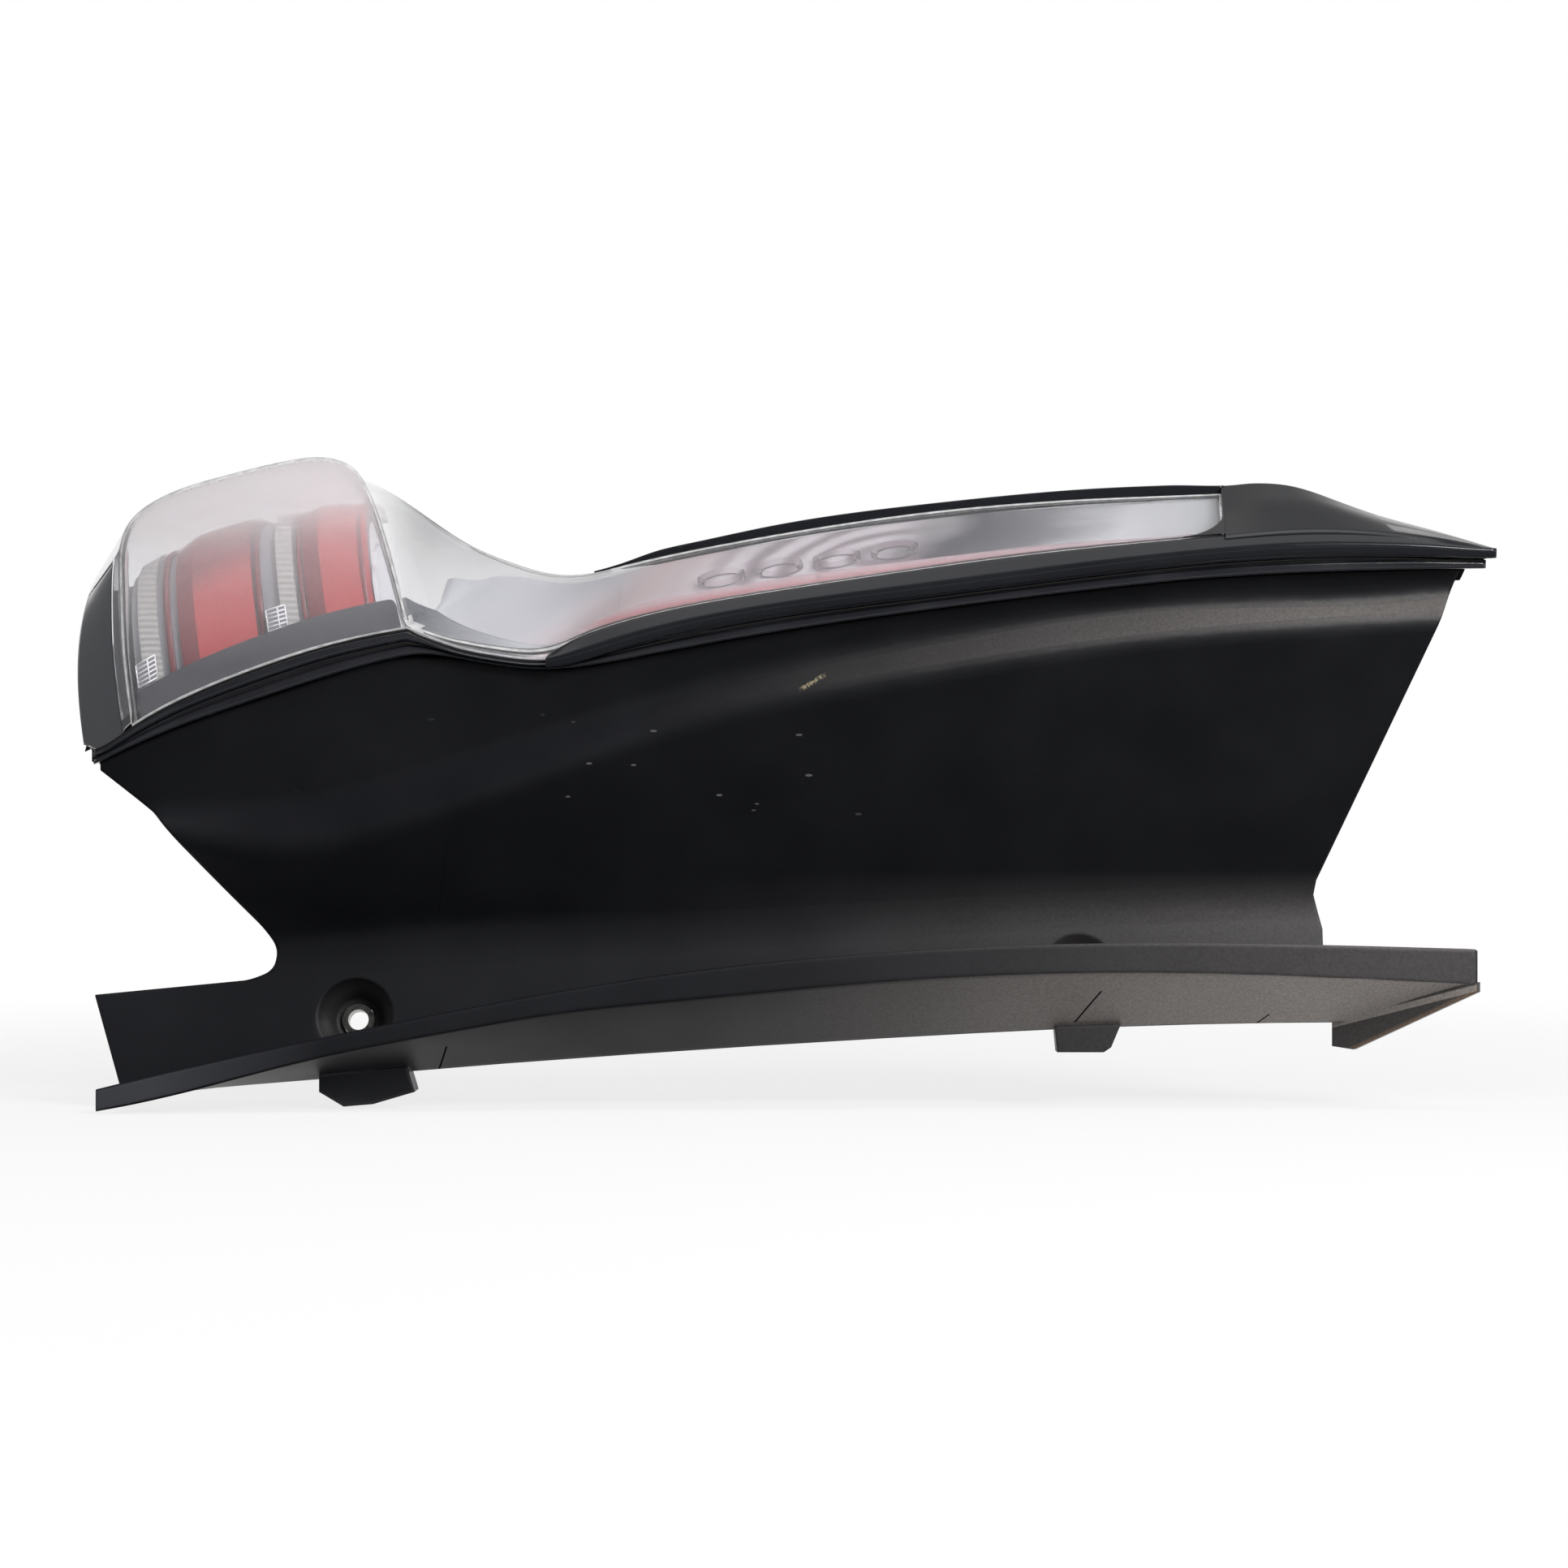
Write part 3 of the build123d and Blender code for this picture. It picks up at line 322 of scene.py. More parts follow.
def clear_polycarbonate():
    """Injection moulded polycarbonate: clear and glossy, with hairlines in the gloss, drawn 1.4 mm apart so
    that they show. Both faces of the front wall are veiled by nicks 0.2 mm wide, with painted light from the
    top wall laid into the veil: faint at the foot and almost white under the top edge, along lines that climb
    to the right by 0.12 mm per mm."""
    made, tree, place = blank("clear_polycarbonate")
    hair = add(tree, "Mapping", {"Vector": place, "Scale": per_metre(40, 40, 1.4286),
                                 "Rotation": (0, 0.2, 0)})
    hairs = add(tree, "TexNoise", {"Vector": hair, "Scale": 1.0, "Detail": 3.0})
    rough = add(tree, "MapRange", {0: hairs, 1: 0.45, 2: 0.8, 3: 0.0, 4: 0.04})
    glass = add(tree, "BsdfPrincipled", {"Base Color": linear("#fbfbfc"), "Roughness": rough, "IOR": 1.5,
                                         "Transmission Weight": 1.0})
    xyz = add(tree, "SeparateXYZ", {0: place})
    # Painted light: the veil grows from faint at the foot to almost white under the top edge, standing in for
    # light from the top wall
    level = add(tree, "Math", {0: xyz.outputs[0], 1: -0.12, 2: xyz.outputs[2]}, operation="MULTIPLY_ADD")
    low = add(tree, "MapRange", {0: level, 1: 0.15, 2: 0.195, 3: 0.07, 4: 0.25})
    top_painted_light = add(tree, "MapRange", {0: level, 1: 0.192, 2: 0.224, 3: 0.0, 4: 0.55},
               interpolation_type="SMOOTHSTEP")
    both = add(tree, "Math", {0: low, 1: top_painted_light}, operation="ADD")
    nicks = add(tree, "TexNoise", {"Vector": place, "Scale": per_metre(0.2), "Detail": 1.0})
    speck = add(tree, "MapRange", {0: nicks, 1: 0.3, 2: 0.7, 3: 0.1, 4: 1.9})
    nicks_and_painted_light = add(tree, "Math", {0: both, 1: speck}, operation="MULTIPLY")
    amount = add(tree, "MapRange", {0: xyz.outputs[1], 1: -0.0368, 2: -0.036, 3: nicks_and_painted_light, 4: 0.02})
    lit = add(tree, "BsdfDiffuse", {"Color": linear("#f0eff1")})
    shone = add(tree, "BsdfTranslucent", {"Color": linear("#f3eff0")})
    haze = add(tree, "MixShader", {0: 0.6, 1: lit, 2: shone})
    through = add(tree, "BsdfTransparent", {"Color": linear("#f4f4f6")})
    path = add(tree, "LightPath")
    body = add(tree, "MixShader", {0: amount, 1: glass, 2: haze})
    kept = add(tree, "MixShader", {0: path.outputs["Is Shadow Ray"], 1: body, 2: through})
    add(tree, "OutputMaterial", {0: kept})
    return made


def painted_edge_highlight():
    """Painted highlight on the edges of the clear moulding: a thin white line that stands in for light caught
    in the rounded edge, uneven in spots 4 mm apart.
    """
    made, tree, place = blank("clear_edge_painted_highlight")
    # Painted highlight: white mixed into the clear moulding where light catches its edges
    line_breaks = add(tree, "TexNoise", {"Vector": place, "Scale": per_metre(4), "Detail": 4.0})
    share = add(tree, "MapRange", {0: line_breaks, 1: 0.35, 2: 0.65, 3: 0.6, 4: 0.95})
    glass = add(tree, "BsdfPrincipled", {"Base Color": linear("#fbfbfc"), "Roughness": 0.1, "IOR": 1.5,
                                         "Transmission Weight": 1.0})
    lit = add(tree, "BsdfDiffuse", {"Color": linear("#fafafa")})
    shone = add(tree, "BsdfTranslucent", {"Color": linear("#fafafa")})
    white = add(tree, "MixShader", {0: 0.5, 1: lit, 2: shone})
    body = add(tree, "MixShader", {0: share, 1: glass, 2: white})
    add(tree, "OutputMaterial", {0: body})
    return made


def red_acrylic(name, deep, pale, flank_shade, rough):
    """Red tinted acrylic over a pale reflector: strong red with ribs 4 mm apart, and a painted shade on the
    flanks that turn aside, which take a darker red."""
    made, tree, place = blank(name)
    clouds = add(tree, "TexNoise", {"Vector": place, "Scale": per_metre(22.22), "Detail": 3.0})
    tint = add(tree, "Mix", {0: clouds, 6: linear(deep), 7: linear(pale)}, data_type="RGBA")
    # Painted shade: faces turned aside take the darker flank colour
    facing = add(tree, "SeparateXYZ", {0: add(tree, "TexCoord").outputs["Normal"]})
    aside = add(tree, "Math", {0: facing}, operation="ABSOLUTE")
    turned = add(tree, "MapRange", {0: aside, 1: 0.12, 2: 0.2})
    tint = add(tree, "Mix", {0: turned, 6: tint.outputs[2], 7: linear(flank_shade)}, data_type="RGBA")
    ribs = add(tree, "TexWave", {"Vector": place, "Scale": waves(3.927), "Distortion": 0.4},
               bands_direction="X")
    bump = add(tree, "Bump", {"Height": ribs, "Distance": 0.0001, "Strength": 0.25})
    shader = add(tree, "BsdfPrincipled", {"Base Color": tint.outputs[2], "Roughness": rough, "Normal": bump,
                                          "Coat Weight": 0.2})
    add(tree, "OutputMaterial", {0: shader})
    return made


def strip_acrylic():
    """Red inner strip of the arm: clear red along its near edge, pearly pink towards its far edge and
    its left end, where the tray shines through."""
    made, tree, place = blank("pale_red_acrylic")
    xyz = add(tree, "SeparateXYZ", {0: place})
    clouds = add(tree, "TexNoise", {"Vector": place, "Scale": per_metre(22.22), "Detail": 3.0})
    tint = add(tree, "Mix", {0: clouds, 6: linear("#c9666c"), 7: linear("#d4858a")}, data_type="RGBA")
    askew = add(tree, "Math", {0: xyz.outputs[0], 1: 0.054, 2: xyz.outputs[1]}, operation="MULTIPLY_ADD")
    far = add(tree, "MapRange", {0: askew, 1: -0.022, 2: -0.004}, interpolation_type="SMOOTHSTEP")
    left = add(tree, "MapRange", {0: xyz.outputs[0], 1: 0.108, 2: 0.094})
    pale = add(tree, "Math", {0: far, 1: left}, operation="MAXIMUM")
    tint = add(tree, "Mix", {0: pale, 6: tint.outputs[2], 7: linear("#e0c6ca")}, data_type="RGBA")
    ribs = add(tree, "TexWave", {"Vector": place, "Scale": waves(3.927), "Distortion": 0.4},
               bands_direction="X")
    bump = add(tree, "Bump", {"Height": ribs, "Distance": 0.0001, "Strength": 0.25})
    shader = add(tree, "BsdfPrincipled", {"Base Color": tint.outputs[2], "Roughness": 0.25, "Normal": bump,
                                          "Coat Weight": 0.2})
    add(tree, "OutputMaterial", {0: shader})
    return made


def guide_acrylic():
    """Clear acrylic light guide, milky from its prismatic cuts, drawn 2.5 mm apart so that they show."""
    made, tree, place = blank("light_guide_acrylic")
    cuts = add(tree, "TexWave", {"Vector": place, "Scale": waves(2.5133), "Distortion": 0.2},
               bands_direction="Z")
    tint = add(tree, "Mix", {0: cuts, 6: linear("#9c9a97"), 7: linear("#bcbab7")}, data_type="RGBA")
    bump = add(tree, "Bump", {"Height": cuts, "Distance": 0.0003, "Strength": 0.3})
    shader = add(tree, "BsdfPrincipled", {"Base Color": tint.outputs[2], "Roughness": 0.15, "Normal": bump})
    add(tree, "OutputMaterial", {0: shader})
    return made


def bezel_plastic():
    """Painted inner bezel: silver grey on the curved carrier, dark grey on the sill in front of
    it, with the pearl of the paint as grain, drawn 1.1 mm wide so that it shows."""
    made, tree, place = blank("painted_grey_plastic")
    depth = add(tree, "SeparateXYZ", {0: place})
    behind = add(tree, "MapRange", {0: depth.outputs[1], 1: -0.0332, 2: -0.0325})
    pearl = add(tree, "TexNoise", {"Vector": place, "Scale": per_metre(1.111), "Detail": 3.0})
    sill = add(tree, "Mix", {0: pearl, 6: linear("#36373b"), 7: linear("#42434a")}, data_type="RGBA")
    silver = add(tree, "Mix", {0: pearl, 6: linear("#84858a"), 7: linear("#989a9f")}, data_type="RGBA")
    tint = add(tree, "Mix", {0: behind, 6: sill.outputs[2], 7: silver.outputs[2]}, data_type="RGBA")
    bump = add(tree, "Bump", {"Height": pearl, "Distance": 0.00001, "Strength": 0.5})
    shader = add(tree, "BsdfPrincipled", {"Base Color": tint.outputs[2], "Roughness": 0.38, "Normal": bump})
    add(tree, "OutputMaterial", {0: shader})
    return made


def tray_plastic():
    """Silver painted tray: pink where the red strip shines on it, pearl with nested ripples 16 mm apart that
    spread to the left from the last ring, a dark grey band behind it and bright silver at the tip."""
    made, tree, place = blank("silver_tray_plastic")
    xyz = add(tree, "SeparateXYZ", {0: place})
    askew = add(tree, "Math", {0: xyz.outputs[1], 1: -0.4, 2: xyz.outputs[0]}, operation="MULTIPLY_ADD")
    swirl = add(tree, "TexNoise", {"Vector": place, "Scale": per_metre(40), "Detail": 2.0})
    run = add(tree, "Math", {0: swirl, 1: 0.05, 2: askew}, operation="MULTIPLY_ADD")
    along = add(tree, "MapRange", {0: run, 1: 0.025, 2: 0.375})
    ramp = add(tree, "ValToRGB", {0: along})
    stops = ramp.color_ramp.elements
    stops[0].color = linear("#b6b7bb")
    stops[1].color = linear("#d8d9dc")
    for spot, shade in ((0.2, "#bcbbbf"), (0.3, "#d0bdbe"), (0.42, "#e6dfe2"), (0.58, "#dcd6d9"),
                        (0.68, "#5c5b60"), (0.78, "#88888d"), (0.88, "#e6e6e8")):
        stops.new(spot).color = linear(shade)
    spot = add(tree, "CombineXYZ", {0: xyz.outputs[0], 1: xyz.outputs[1]})
    centre = (RING_LAST, RING_DEPTH, 0)
    away = add(tree, "VectorMath", {0: spot, 1: centre}, operation="DISTANCE").outputs["Value"]
    bent = add(tree, "Math", {0: swirl, 1: 0.012, 2: away}, operation="MULTIPLY_ADD")
    turns = add(tree, "Math", {0: bent, 1: 2 * np.pi * per_metre(15.988)}, operation="MULTIPLY")
    wave = add(tree, "Math", {0: turns}, operation="SINE")
    near = add(tree, "MapRange", {0: away, 1: 0.1, 2: 0.06})
    last = add(tree, "MapRange", {0: xyz.outputs[0], 1: RING_LAST + 0.6 * RING_PITCH,
                                  2: RING_LAST + 0.2 * RING_PITCH})
    ripple = add(tree, "MapRange", {0: wave, 1: -0.6, 2: 0.9, 3: 0.0, 4: 0.9})
    for mask in (near, last):
        ripple = add(tree, "Math", {0: ripple, 1: mask}, operation="MULTIPLY")
    tint = add(tree, "Mix", {0: ripple, 6: ramp, 7: linear("#9c8f95")}, data_type="RGBA")
    bump = add(tree, "Bump", {"Height": ripple, "Distance": 0.0005, "Strength": 0.3})
    shader = add(tree, "BsdfPrincipled", {"Base Color": tint.outputs[2], "Roughness": 0.35, "Normal": bump})
    add(tree, "OutputMaterial", {0: shader})
    return made


def flange_plastic():
    """Dark flange of the tray at the crease, paler with the distance from it, streaked along."""
    made, tree, place = blank("streaked_grey_plastic")
    xyz = add(tree, "SeparateXYZ", {0: place})
    drawn = add(tree, "Mapping", {"Vector": place, "Scale": per_metre(16.667, 2, 1.4286)})
    streak = add(tree, "TexNoise", {"Vector": drawn, "Scale": 1.0, "Detail": 3.0})
    ragged = add(tree, "Math", {0: streak, 1: 0.03, 2: xyz.outputs[0]}, operation="MULTIPLY_ADD")
    paler = add(tree, "MapRange", {0: ragged, 1: 0.035, 2: 0.085})
    tint = add(tree, "Mix", {0: paler, 6: linear("#46474c"), 7: linear("#b4b5b9")}, data_type="RGBA")
    bump = add(tree, "Bump", {"Height": streak, "Distance": 0.0002, "Strength": 0.4})
    shader = add(tree, "BsdfPrincipled", {"Base Color": tint.outputs[2], "Roughness": 0.35, "Normal": bump})
    add(tree, "OutputMaterial", {0: shader})
    return made


def metal(name, dark, light, rough, grain_mm):
    """Bare or plated metal: two near shades along drawn-out grain, its size given in mm on X, Y, Z."""
    made, tree, place = blank(name)
    drawn = add(tree, "Mapping", {"Vector": place, "Scale": per_metre(*grain_mm)})
    streak = add(tree, "TexNoise", {"Vector": drawn, "Scale": 1.0, "Detail": 3.0})
    tint = add(tree, "Mix", {0: streak, 6: linear(dark), 7: linear(light)}, data_type="RGBA")
    wander = add(tree, "MapRange", {0: streak, 1: 0.3, 2: 0.7, 3: rough - 0.06, 4: rough + 0.08})
    bump = add(tree, "Bump", {"Height": streak, "Distance": 0.00005, "Strength": 0.4})
    shader = add(tree, "BsdfPrincipled", {"Base Color": tint.outputs[2], "Roughness": wander, "Metallic": 1.0,
                                          "Normal": bump})
    add(tree, "OutputMaterial", {0: shader})
    return made


def panel_plastic():
    """Satin black moulding: bluish black with grain 1.25 mm wide. Brown-grey dust with a painted sheen of the
    overhead light lies on the faces that look up and at the foot, and a speckled painted reflection of the
    floor lies under the web, more to the right; the web shows three thin mould seams. Painted light makes the
    front of the lip and the tab paler, the lip most at its left end, and makes the screw dish paler
    grey-brown. The end rib has a painted pale band of light along its top and brown dirt on its lower edge.
    Small scuffs follow the S band, and one yellowish scratch crosses it. Edges look 2 mm round."""
    made, tree, place = blank("satin_black_plastic")
    xyz = add(tree, "SeparateXYZ", {0: place})
    x, y, z = xyz.outputs
    lip = add(tree, "MapRange", {0: y, 1: LIP_FACE + 0.001, 2: LIP_FACE})
    clouds = add(tree, "TexNoise", {"Vector": place, "Scale": per_metre(33.333), "Detail": 4.0})
    tint = add(tree, "Mix", {0: clouds, 6: linear("#0d0e12"), 7: linear("#14151a")}, data_type="RGBA")

    # Dust and painted sheen, by the way that a face looks: faces that look up and the foot take dust with a
    # painted sheen of the overhead light, the underside of the web a painted reflection of the floor
    facing = add(tree, "SeparateXYZ", {0: add(tree, "TexCoord").outputs["Normal"]})
    up = add(tree, "MapRange", {0: facing.outputs[2], 1: 0.08, 2: 0.45, 4: 0.78})
    down = add(tree, "MapRange", {0: facing.outputs[2], 1: -0.5, 2: -0.7, 4: 1.7})
    foot = add(tree, "MapRange", {0: z, 1: 0.062, 2: 0.045, 3: 0.0, 4: 0.38})
    dust_and_sheen_faces = add(tree, "Math", {0: up, 1: down}, operation="MAXIMUM")
    dust_and_sheen_faces = add(tree, "Math", {0: dust_and_sheen_faces, 1: foot}, operation="MAXIMUM")
    onset = add(tree, "Math", {0: lip, 1: -0.035, 2: x}, operation="MULTIPLY_ADD")
    right = add(tree, "MapRange", {0: onset, 1: 0.1, 2: 0.43}, interpolation_type="SMOOTHSTEP")
    grit = add(tree, "TexNoise", {"Vector": place, "Scale": per_metre(1.111), "Detail": 6.0})
    patchy = add(tree, "MapRange", {0: grit, 1: 0.3, 2: 0.7, 3: 0.38, 4: 0.6})
    dust_and_sheen = add(tree, "Math", {0: dust_and_sheen_faces, 1: right}, operation="MULTIPLY")
    dust_and_sheen = add(tree, "Math", {0: dust_and_sheen, 1: patchy}, operation="MULTIPLY")

    # Painted light on the faces that look to the front: the lip, most at its left end, and the tab low down
    ahead = add(tree, "MapRange", {0: facing.outputs[1], 1: -0.9, 2: -0.97})
    low = add(tree, "MapRange", {0: z, 1: 0.06, 2: 0.04, 3: 0.0, 4: 0.06})
    left = add(tree, "MapRange", {0: x, 1: 0.0, 2: -0.08, 3: 0.0, 4: 0.45})
    lit_front_share = add(tree, "Math", {0: left, 1: lip}, operation="MULTIPLY")
    lit_front_share = add(tree, "Math", {0: lit_front_share, 1: low}, operation="MAXIMUM")
    front_painted_light = add(tree, "Math", {0: ahead, 1: lit_front_share}, operation="MULTIPLY")

    # Painted light in the screw dish, behind the lip, where bounced light falls
    level = add(tree, "VectorMath", {0: place, 1: (1, 0, 1)}, operation="MULTIPLY")
    round_hole = add(tree, "VectorMath", {0: level}, operation="LENGTH").outputs["Value"]
    dish_painted_light = add(tree, "MapRange", {0: round_hole, 1: DISH_RADIUS, 2: DISH_RADIUS - 0.0045, 4: 0.25})
    deep = add(tree, "MapRange", {0: y, 1: -0.024, 2: -0.02})
    dish_painted_light = add(tree, "Math", {0: dish_painted_light, 1: deep}, operation="MULTIPLY")

    # Painted light as a pale band along the top of the end rib, where the top flange of its channel catches
    # light, and brown dirt on its lower edge
    side = add(tree, "MapRange", {0: facing, 1: -0.3, 2: -0.45})
    last = add(tree, "MapRange", {0: x, 1: RIB_START - 0.01, 2: RIB_START})
    rib = add(tree, "Math", {0: side, 1: last}, operation="MULTIPLY")
    upper = add(tree, "Math", {0: x, 1: -RIB_TOP[0], 2: z}, operation="MULTIPLY_ADD")
    flange = add(tree, "Math", {0: upper, 1: RIB_TOP[1], 2: 0.0013}, operation="COMPARE")
    lower = add(tree, "Math", {0: x, 1: -RIB_FOOT[0], 2: z}, operation="MULTIPLY_ADD")
    edge = add(tree, "MapRange", {0: lower, 1: RIB_FOOT[1] + 0.0016, 2: RIB_FOOT[1]})
    for mask in (rib, patchy):
        flange = add(tree, "Math", {0: flange, 1: mask}, operation="MULTIPLY")
        edge = add(tree, "Math", {0: edge, 1: mask}, operation="MULTIPLY")

    # Seams under the web
    seams = 0.0
    for start, back, slope, middle, half in WEB_SEAMS:
        line = add(tree, "Math", {0: y, 1: -slope, 2: x}, operation="MULTIPLY_ADD")
        off = add(tree, "Math", {0: line, 1: start - slope * back}, operation="SUBTRACT")
        off = add(tree, "Math", {0: off}, operation="ABSOLUTE")
        hit = add(tree, "MapRange", {0: off, 1: 0.0005, 2: 0.0002})
        inside = add(tree, "Math", {0: y, 1: middle, 2: half}, operation="COMPARE")
        hit = add(tree, "Math", {0: hit, 1: inside}, operation="MULTIPLY")
        seams = add(tree, "Math", {0: seams, 1: hit}, operation="MAXIMUM")
    seams = add(tree, "Math", {0: seams, 1: down}, operation="MULTIPLY")

    # Scuffs: the hearts of a few of the cells of a flat, tilted foam, within a window
    stretched = add(tree, "Mapping", {"Vector": place, "Scale": per_metre(14.286, 14.286, 5.2632),
                                      "Rotation": (0, 0.15, 0)})
    cells = add(tree, "TexVoronoi", {"Vector": stretched, "Scale": 1.0})
    dot = add(tree, "Math", {0: cells.outputs["Distance"], 1: 0.1}, operation="LESS_THAN")
    lot = add(tree, "SeparateColor", {0: cells.outputs["Color"]})
    few = add(tree, "Math", {0: lot, 1: 0.66}, operation="GREATER_THAN")
    along = add(tree, "MapRange", {0: x, 1: 0.02, 2: 0.06})
    short = add(tree, "MapRange", {0: x, 1: 0.22, 2: 0.2})
    above = add(tree, "MapRange", {0: z, 1: 0.08, 2: 0.09})
    under = add(tree, "MapRange", {0: z, 1: 0.13, 2: 0.115})
    scuffs = dot
    for mask in (few, along, short, above, under):
        scuffs = add(tree, "Math", {0: scuffs, 1: mask}, operation="MULTIPLY")

    # Scratch, in coordinates along and across it
    shifted = add(tree, "VectorMath", {0: place, 1: SCRATCH}, operation="SUBTRACT")
    turned = add(tree, "Mapping", {"Vector": shifted, "Rotation": (0, SCRATCH_TURN, 0)})
    local = add(tree, "SeparateXYZ", {0: turned})
    far = add(tree, "Math", {0: local.outputs[0]}, operation="ABSOLUTE")
    off = add(tree, "Math", {0: local.outputs[2]}, operation="ABSOLUTE")
    ends = add(tree, "MapRange", {0: far, 1: 0.0065, 2: 0.004})
    thin = add(tree, "MapRange", {0: off, 1: 0.0012, 2: 0.0003})
    frayed = add(tree, "MapRange", {0: grit, 1: 0.42, 2: 0.56})
    scratch = add(tree, "Math", {0: ends, 1: thin}, operation="MULTIPLY")
    scratch = add(tree, "Math", {0: scratch, 1: frayed}, operation="MULTIPLY")

    for mask, shade in ((dust_and_sheen, "#8a8480"), (front_painted_light, "#5a5b61"), (dish_painted_light, "#55524f"), (flange, "#a39c96"),
                        (edge, "#8d735c"), (seams, "#08080a"), (scuffs, "#565554"), (scratch, "#8a8066")):
        tint = add(tree, "Mix", {0: mask, 6: tint.outputs[2], 7: linear(shade)}, data_type="RGBA")
    wander = add(tree, "MapRange", {0: clouds, 1: 0.3, 2: 0.7, 3: 0.4, 4: 0.5})
    grain = add(tree, "TexNoise", {"Vector": place, "Scale": per_metre(1.25), "Detail": 2.0})
    soft = add(tree, "Bevel", {"Radius": 0.002}, samples=6)
    bump = add(tree, "Bump", {"Height": grain, "Distance": 0.00002, "Strength": 0.6, "Normal": soft})
    gloss = add(tree, "MapRange", {0: seams, 3: 0.3, 4: 0.0})
    shader = add(tree, "BsdfPrincipled", {"Base Color": tint.outputs[2], "Roughness": wander, "Normal": bump,
                                          "Specular IOR Level": gloss})
    add(tree, "OutputMaterial", {0: shader})
    return made


looks = {
    "clear_lens": clear_polycarbonate(),
    # Moulded ABS off a polished tool: deep black that mirrors the room, a little wavy
    "gloss_black": moulded("gloss_black_plastic", "#18191c", "#212226", 0.14, 1.2, 0.004, spread=0.04),
    "satin_black": panel_plastic(),
    # Moulded polypropylene: near black with a soft shine and shallow grain
    "housing_black": moulded("moulded_black_plastic", "#0c0c0f", "#141418", 0.26, 1.5, 0.02),
    "bezel_grey": bezel_plastic(),
    # Painted plastic: pale, even and half matt
    "cheek_grey": moulded("pale_grey_plastic", "#d4d4d8", "#e0e0e4", 0.35, 1.0, 0.01),
    "red_lens": red_acrylic("red_acrylic", "#a83f41", "#b84e4f", "#7c3238", 0.25),
    "guide_clear": guide_acrylic(),
    "tray_grey": tray_plastic(),
    # Glass laminate under green lacquer: half matt, its weave faintly raised
    "board_green": moulded("board_laminate", "#173f29", "#215338", 0.4, 0.8, 0.02),
    # Phosphor in a white case: small pale yellow chips
    "led_body": moulded("led_package", "#e0d48c", "#f0ead0", 0.3, 0.6, 0.01, cloud_mm=3),
    # Rolled aluminium: dull silver, streaked along X
    "bare_aluminium": metal("rolled_aluminium", "#aeb0b3", "#c6c8ca", 0.32, (25, 1.111, 1.111)),
    # Zinc plated steel: grey with an even, soft shine
    "plated_steel": metal("zinc_plated_steel", "#9a9a98", "#b6b6b2", 0.3, (2, 2, 2)),
    # Tinned brass: warm silver with the streaks of the drawn wire
    "pin_metal": metal("tinned_brass", "#b9a878", "#d2c69c", 0.25, (3.333, 1.111, 1.111)),
    # Closed cell foam: matt black with open pores
    "foam_black": moulded("closed_cell_foam", "#141414", "#202020", 0.9, 1.6, 0.25),
    # Cured sealant: black bead with a dull, lumpy skin
    "sealant": moulded("cured_sealant", "#0c0c0c", "#161616", 0.5, 2.5, 0.1),
}
edge_highlight_finish = painted_edge_highlight()
# Darker copy of the red acrylic, for the painted shade beside the bars
shaded_red = red_acrylic("shaded_red_acrylic", "#6e2228", "#83343a", "#5c2026", 0.3)
node_looks = {
    "arm_inner_lens": strip_acrylic(),
    # Thin clear acrylic: hoops that show only by their edges
    "arm_optics": moulded("clear_acrylic", "#f6f0f3", "#fdfafb", 0.1, 1.0, 0.01,
                          Transmission_Weight=0.95, IOR=1.08),
    # Smoke tinted acrylic: grey squares with a sharp shine
    "inlet_prism_lower": moulded("smoke_acrylic", "#707176", "#8c8d92", 0.12, 1.3, 0.02, cloud_mm=4),
}
node_looks["inlet_prism_upper"] = node_looks["inlet_prism_lower"]
for part in frame["record"]["subparts"]:
    mesh = nodes[part["node"]].data
    mesh.materials.clear()
    mesh.materials.append(node_looks.get(part["node"], looks[part["material_slot"]]))

# Outer lens: front wall, rounded edge, wall ruled from near to far outline, and far wall
# Rows of points beside the cap, on the rest of the cube and on the arm
CAP_ROWS = 46
CUBE_ROWS = 120
ARM_ROWS = 190
# Shares of the outlines: end of the cap at the near and far side, start of the worn end of the window
CAP_NEAR_SHARE = 0.278
CAP_FAR_SHARE = 0.257
END_EDGE = 0.9973
# Reach of the rounded edges, width of the painted edge highlights at the foot and the crease, start of the
# painted highlight on the far edge, and the gap over the rim
EDGE = 2.6
FOOT_EDGE = 0.9
CREASE_EDGE = 5.0
FAR_EDGE_START = 100.0
RIM_GAP = 0.05
# Front edge of the end cap: its way back from the near outline at CAP_FOOT, and how far it leans
CAP_INSET = 15.8
CAP_FOOT = 60.0
CAP_LEAN = 5 / 129
CAP_FOOT_ROWS = 3


def cube_shares(cap_share):
    """Shares along an outline of the cube: even steps up to the end of the cap, and from there on."""
    return np.concatenate([np.linspace(0, cap_share, CAP_ROWS), np.linspace(cap_share, 1, CUBE_ROWS)[1:]])


near_share = cube_shares(CAP_NEAR_SHARE)
far_share = cube_shares(CAP_FAR_SHARE)
arm_share = np.append(np.linspace(0, END_EDGE, ARM_ROWS)[1:], 1)
near_line = np.concatenate([traced(CUBE_NEAR, near_share), traced(ARM_NEAR, arm_share)])
far_line = np.concatenate([traced(CUBE_FAR, far_share), traced(ARM_FAR, arm_share)])
cube_rows = len(near_share)
foot_x = near_line[:, 0].copy()
foot_x[:cube_rows] = CUBE_NEAR[0][0] + (KINK_X - CUBE_NEAR[0][0]) * near_share
far_foot_x = far_line[:, 0].copy()
far_foot_x[:cube_rows] = CUBE_FAR[0][0] + (CUBE_FAR[-1][0] - CUBE_FAR[0][0]) * far_share
near = at_depth(near_line, LENS_NEAR)
far = at_depth(far_line, LENS_FAR)
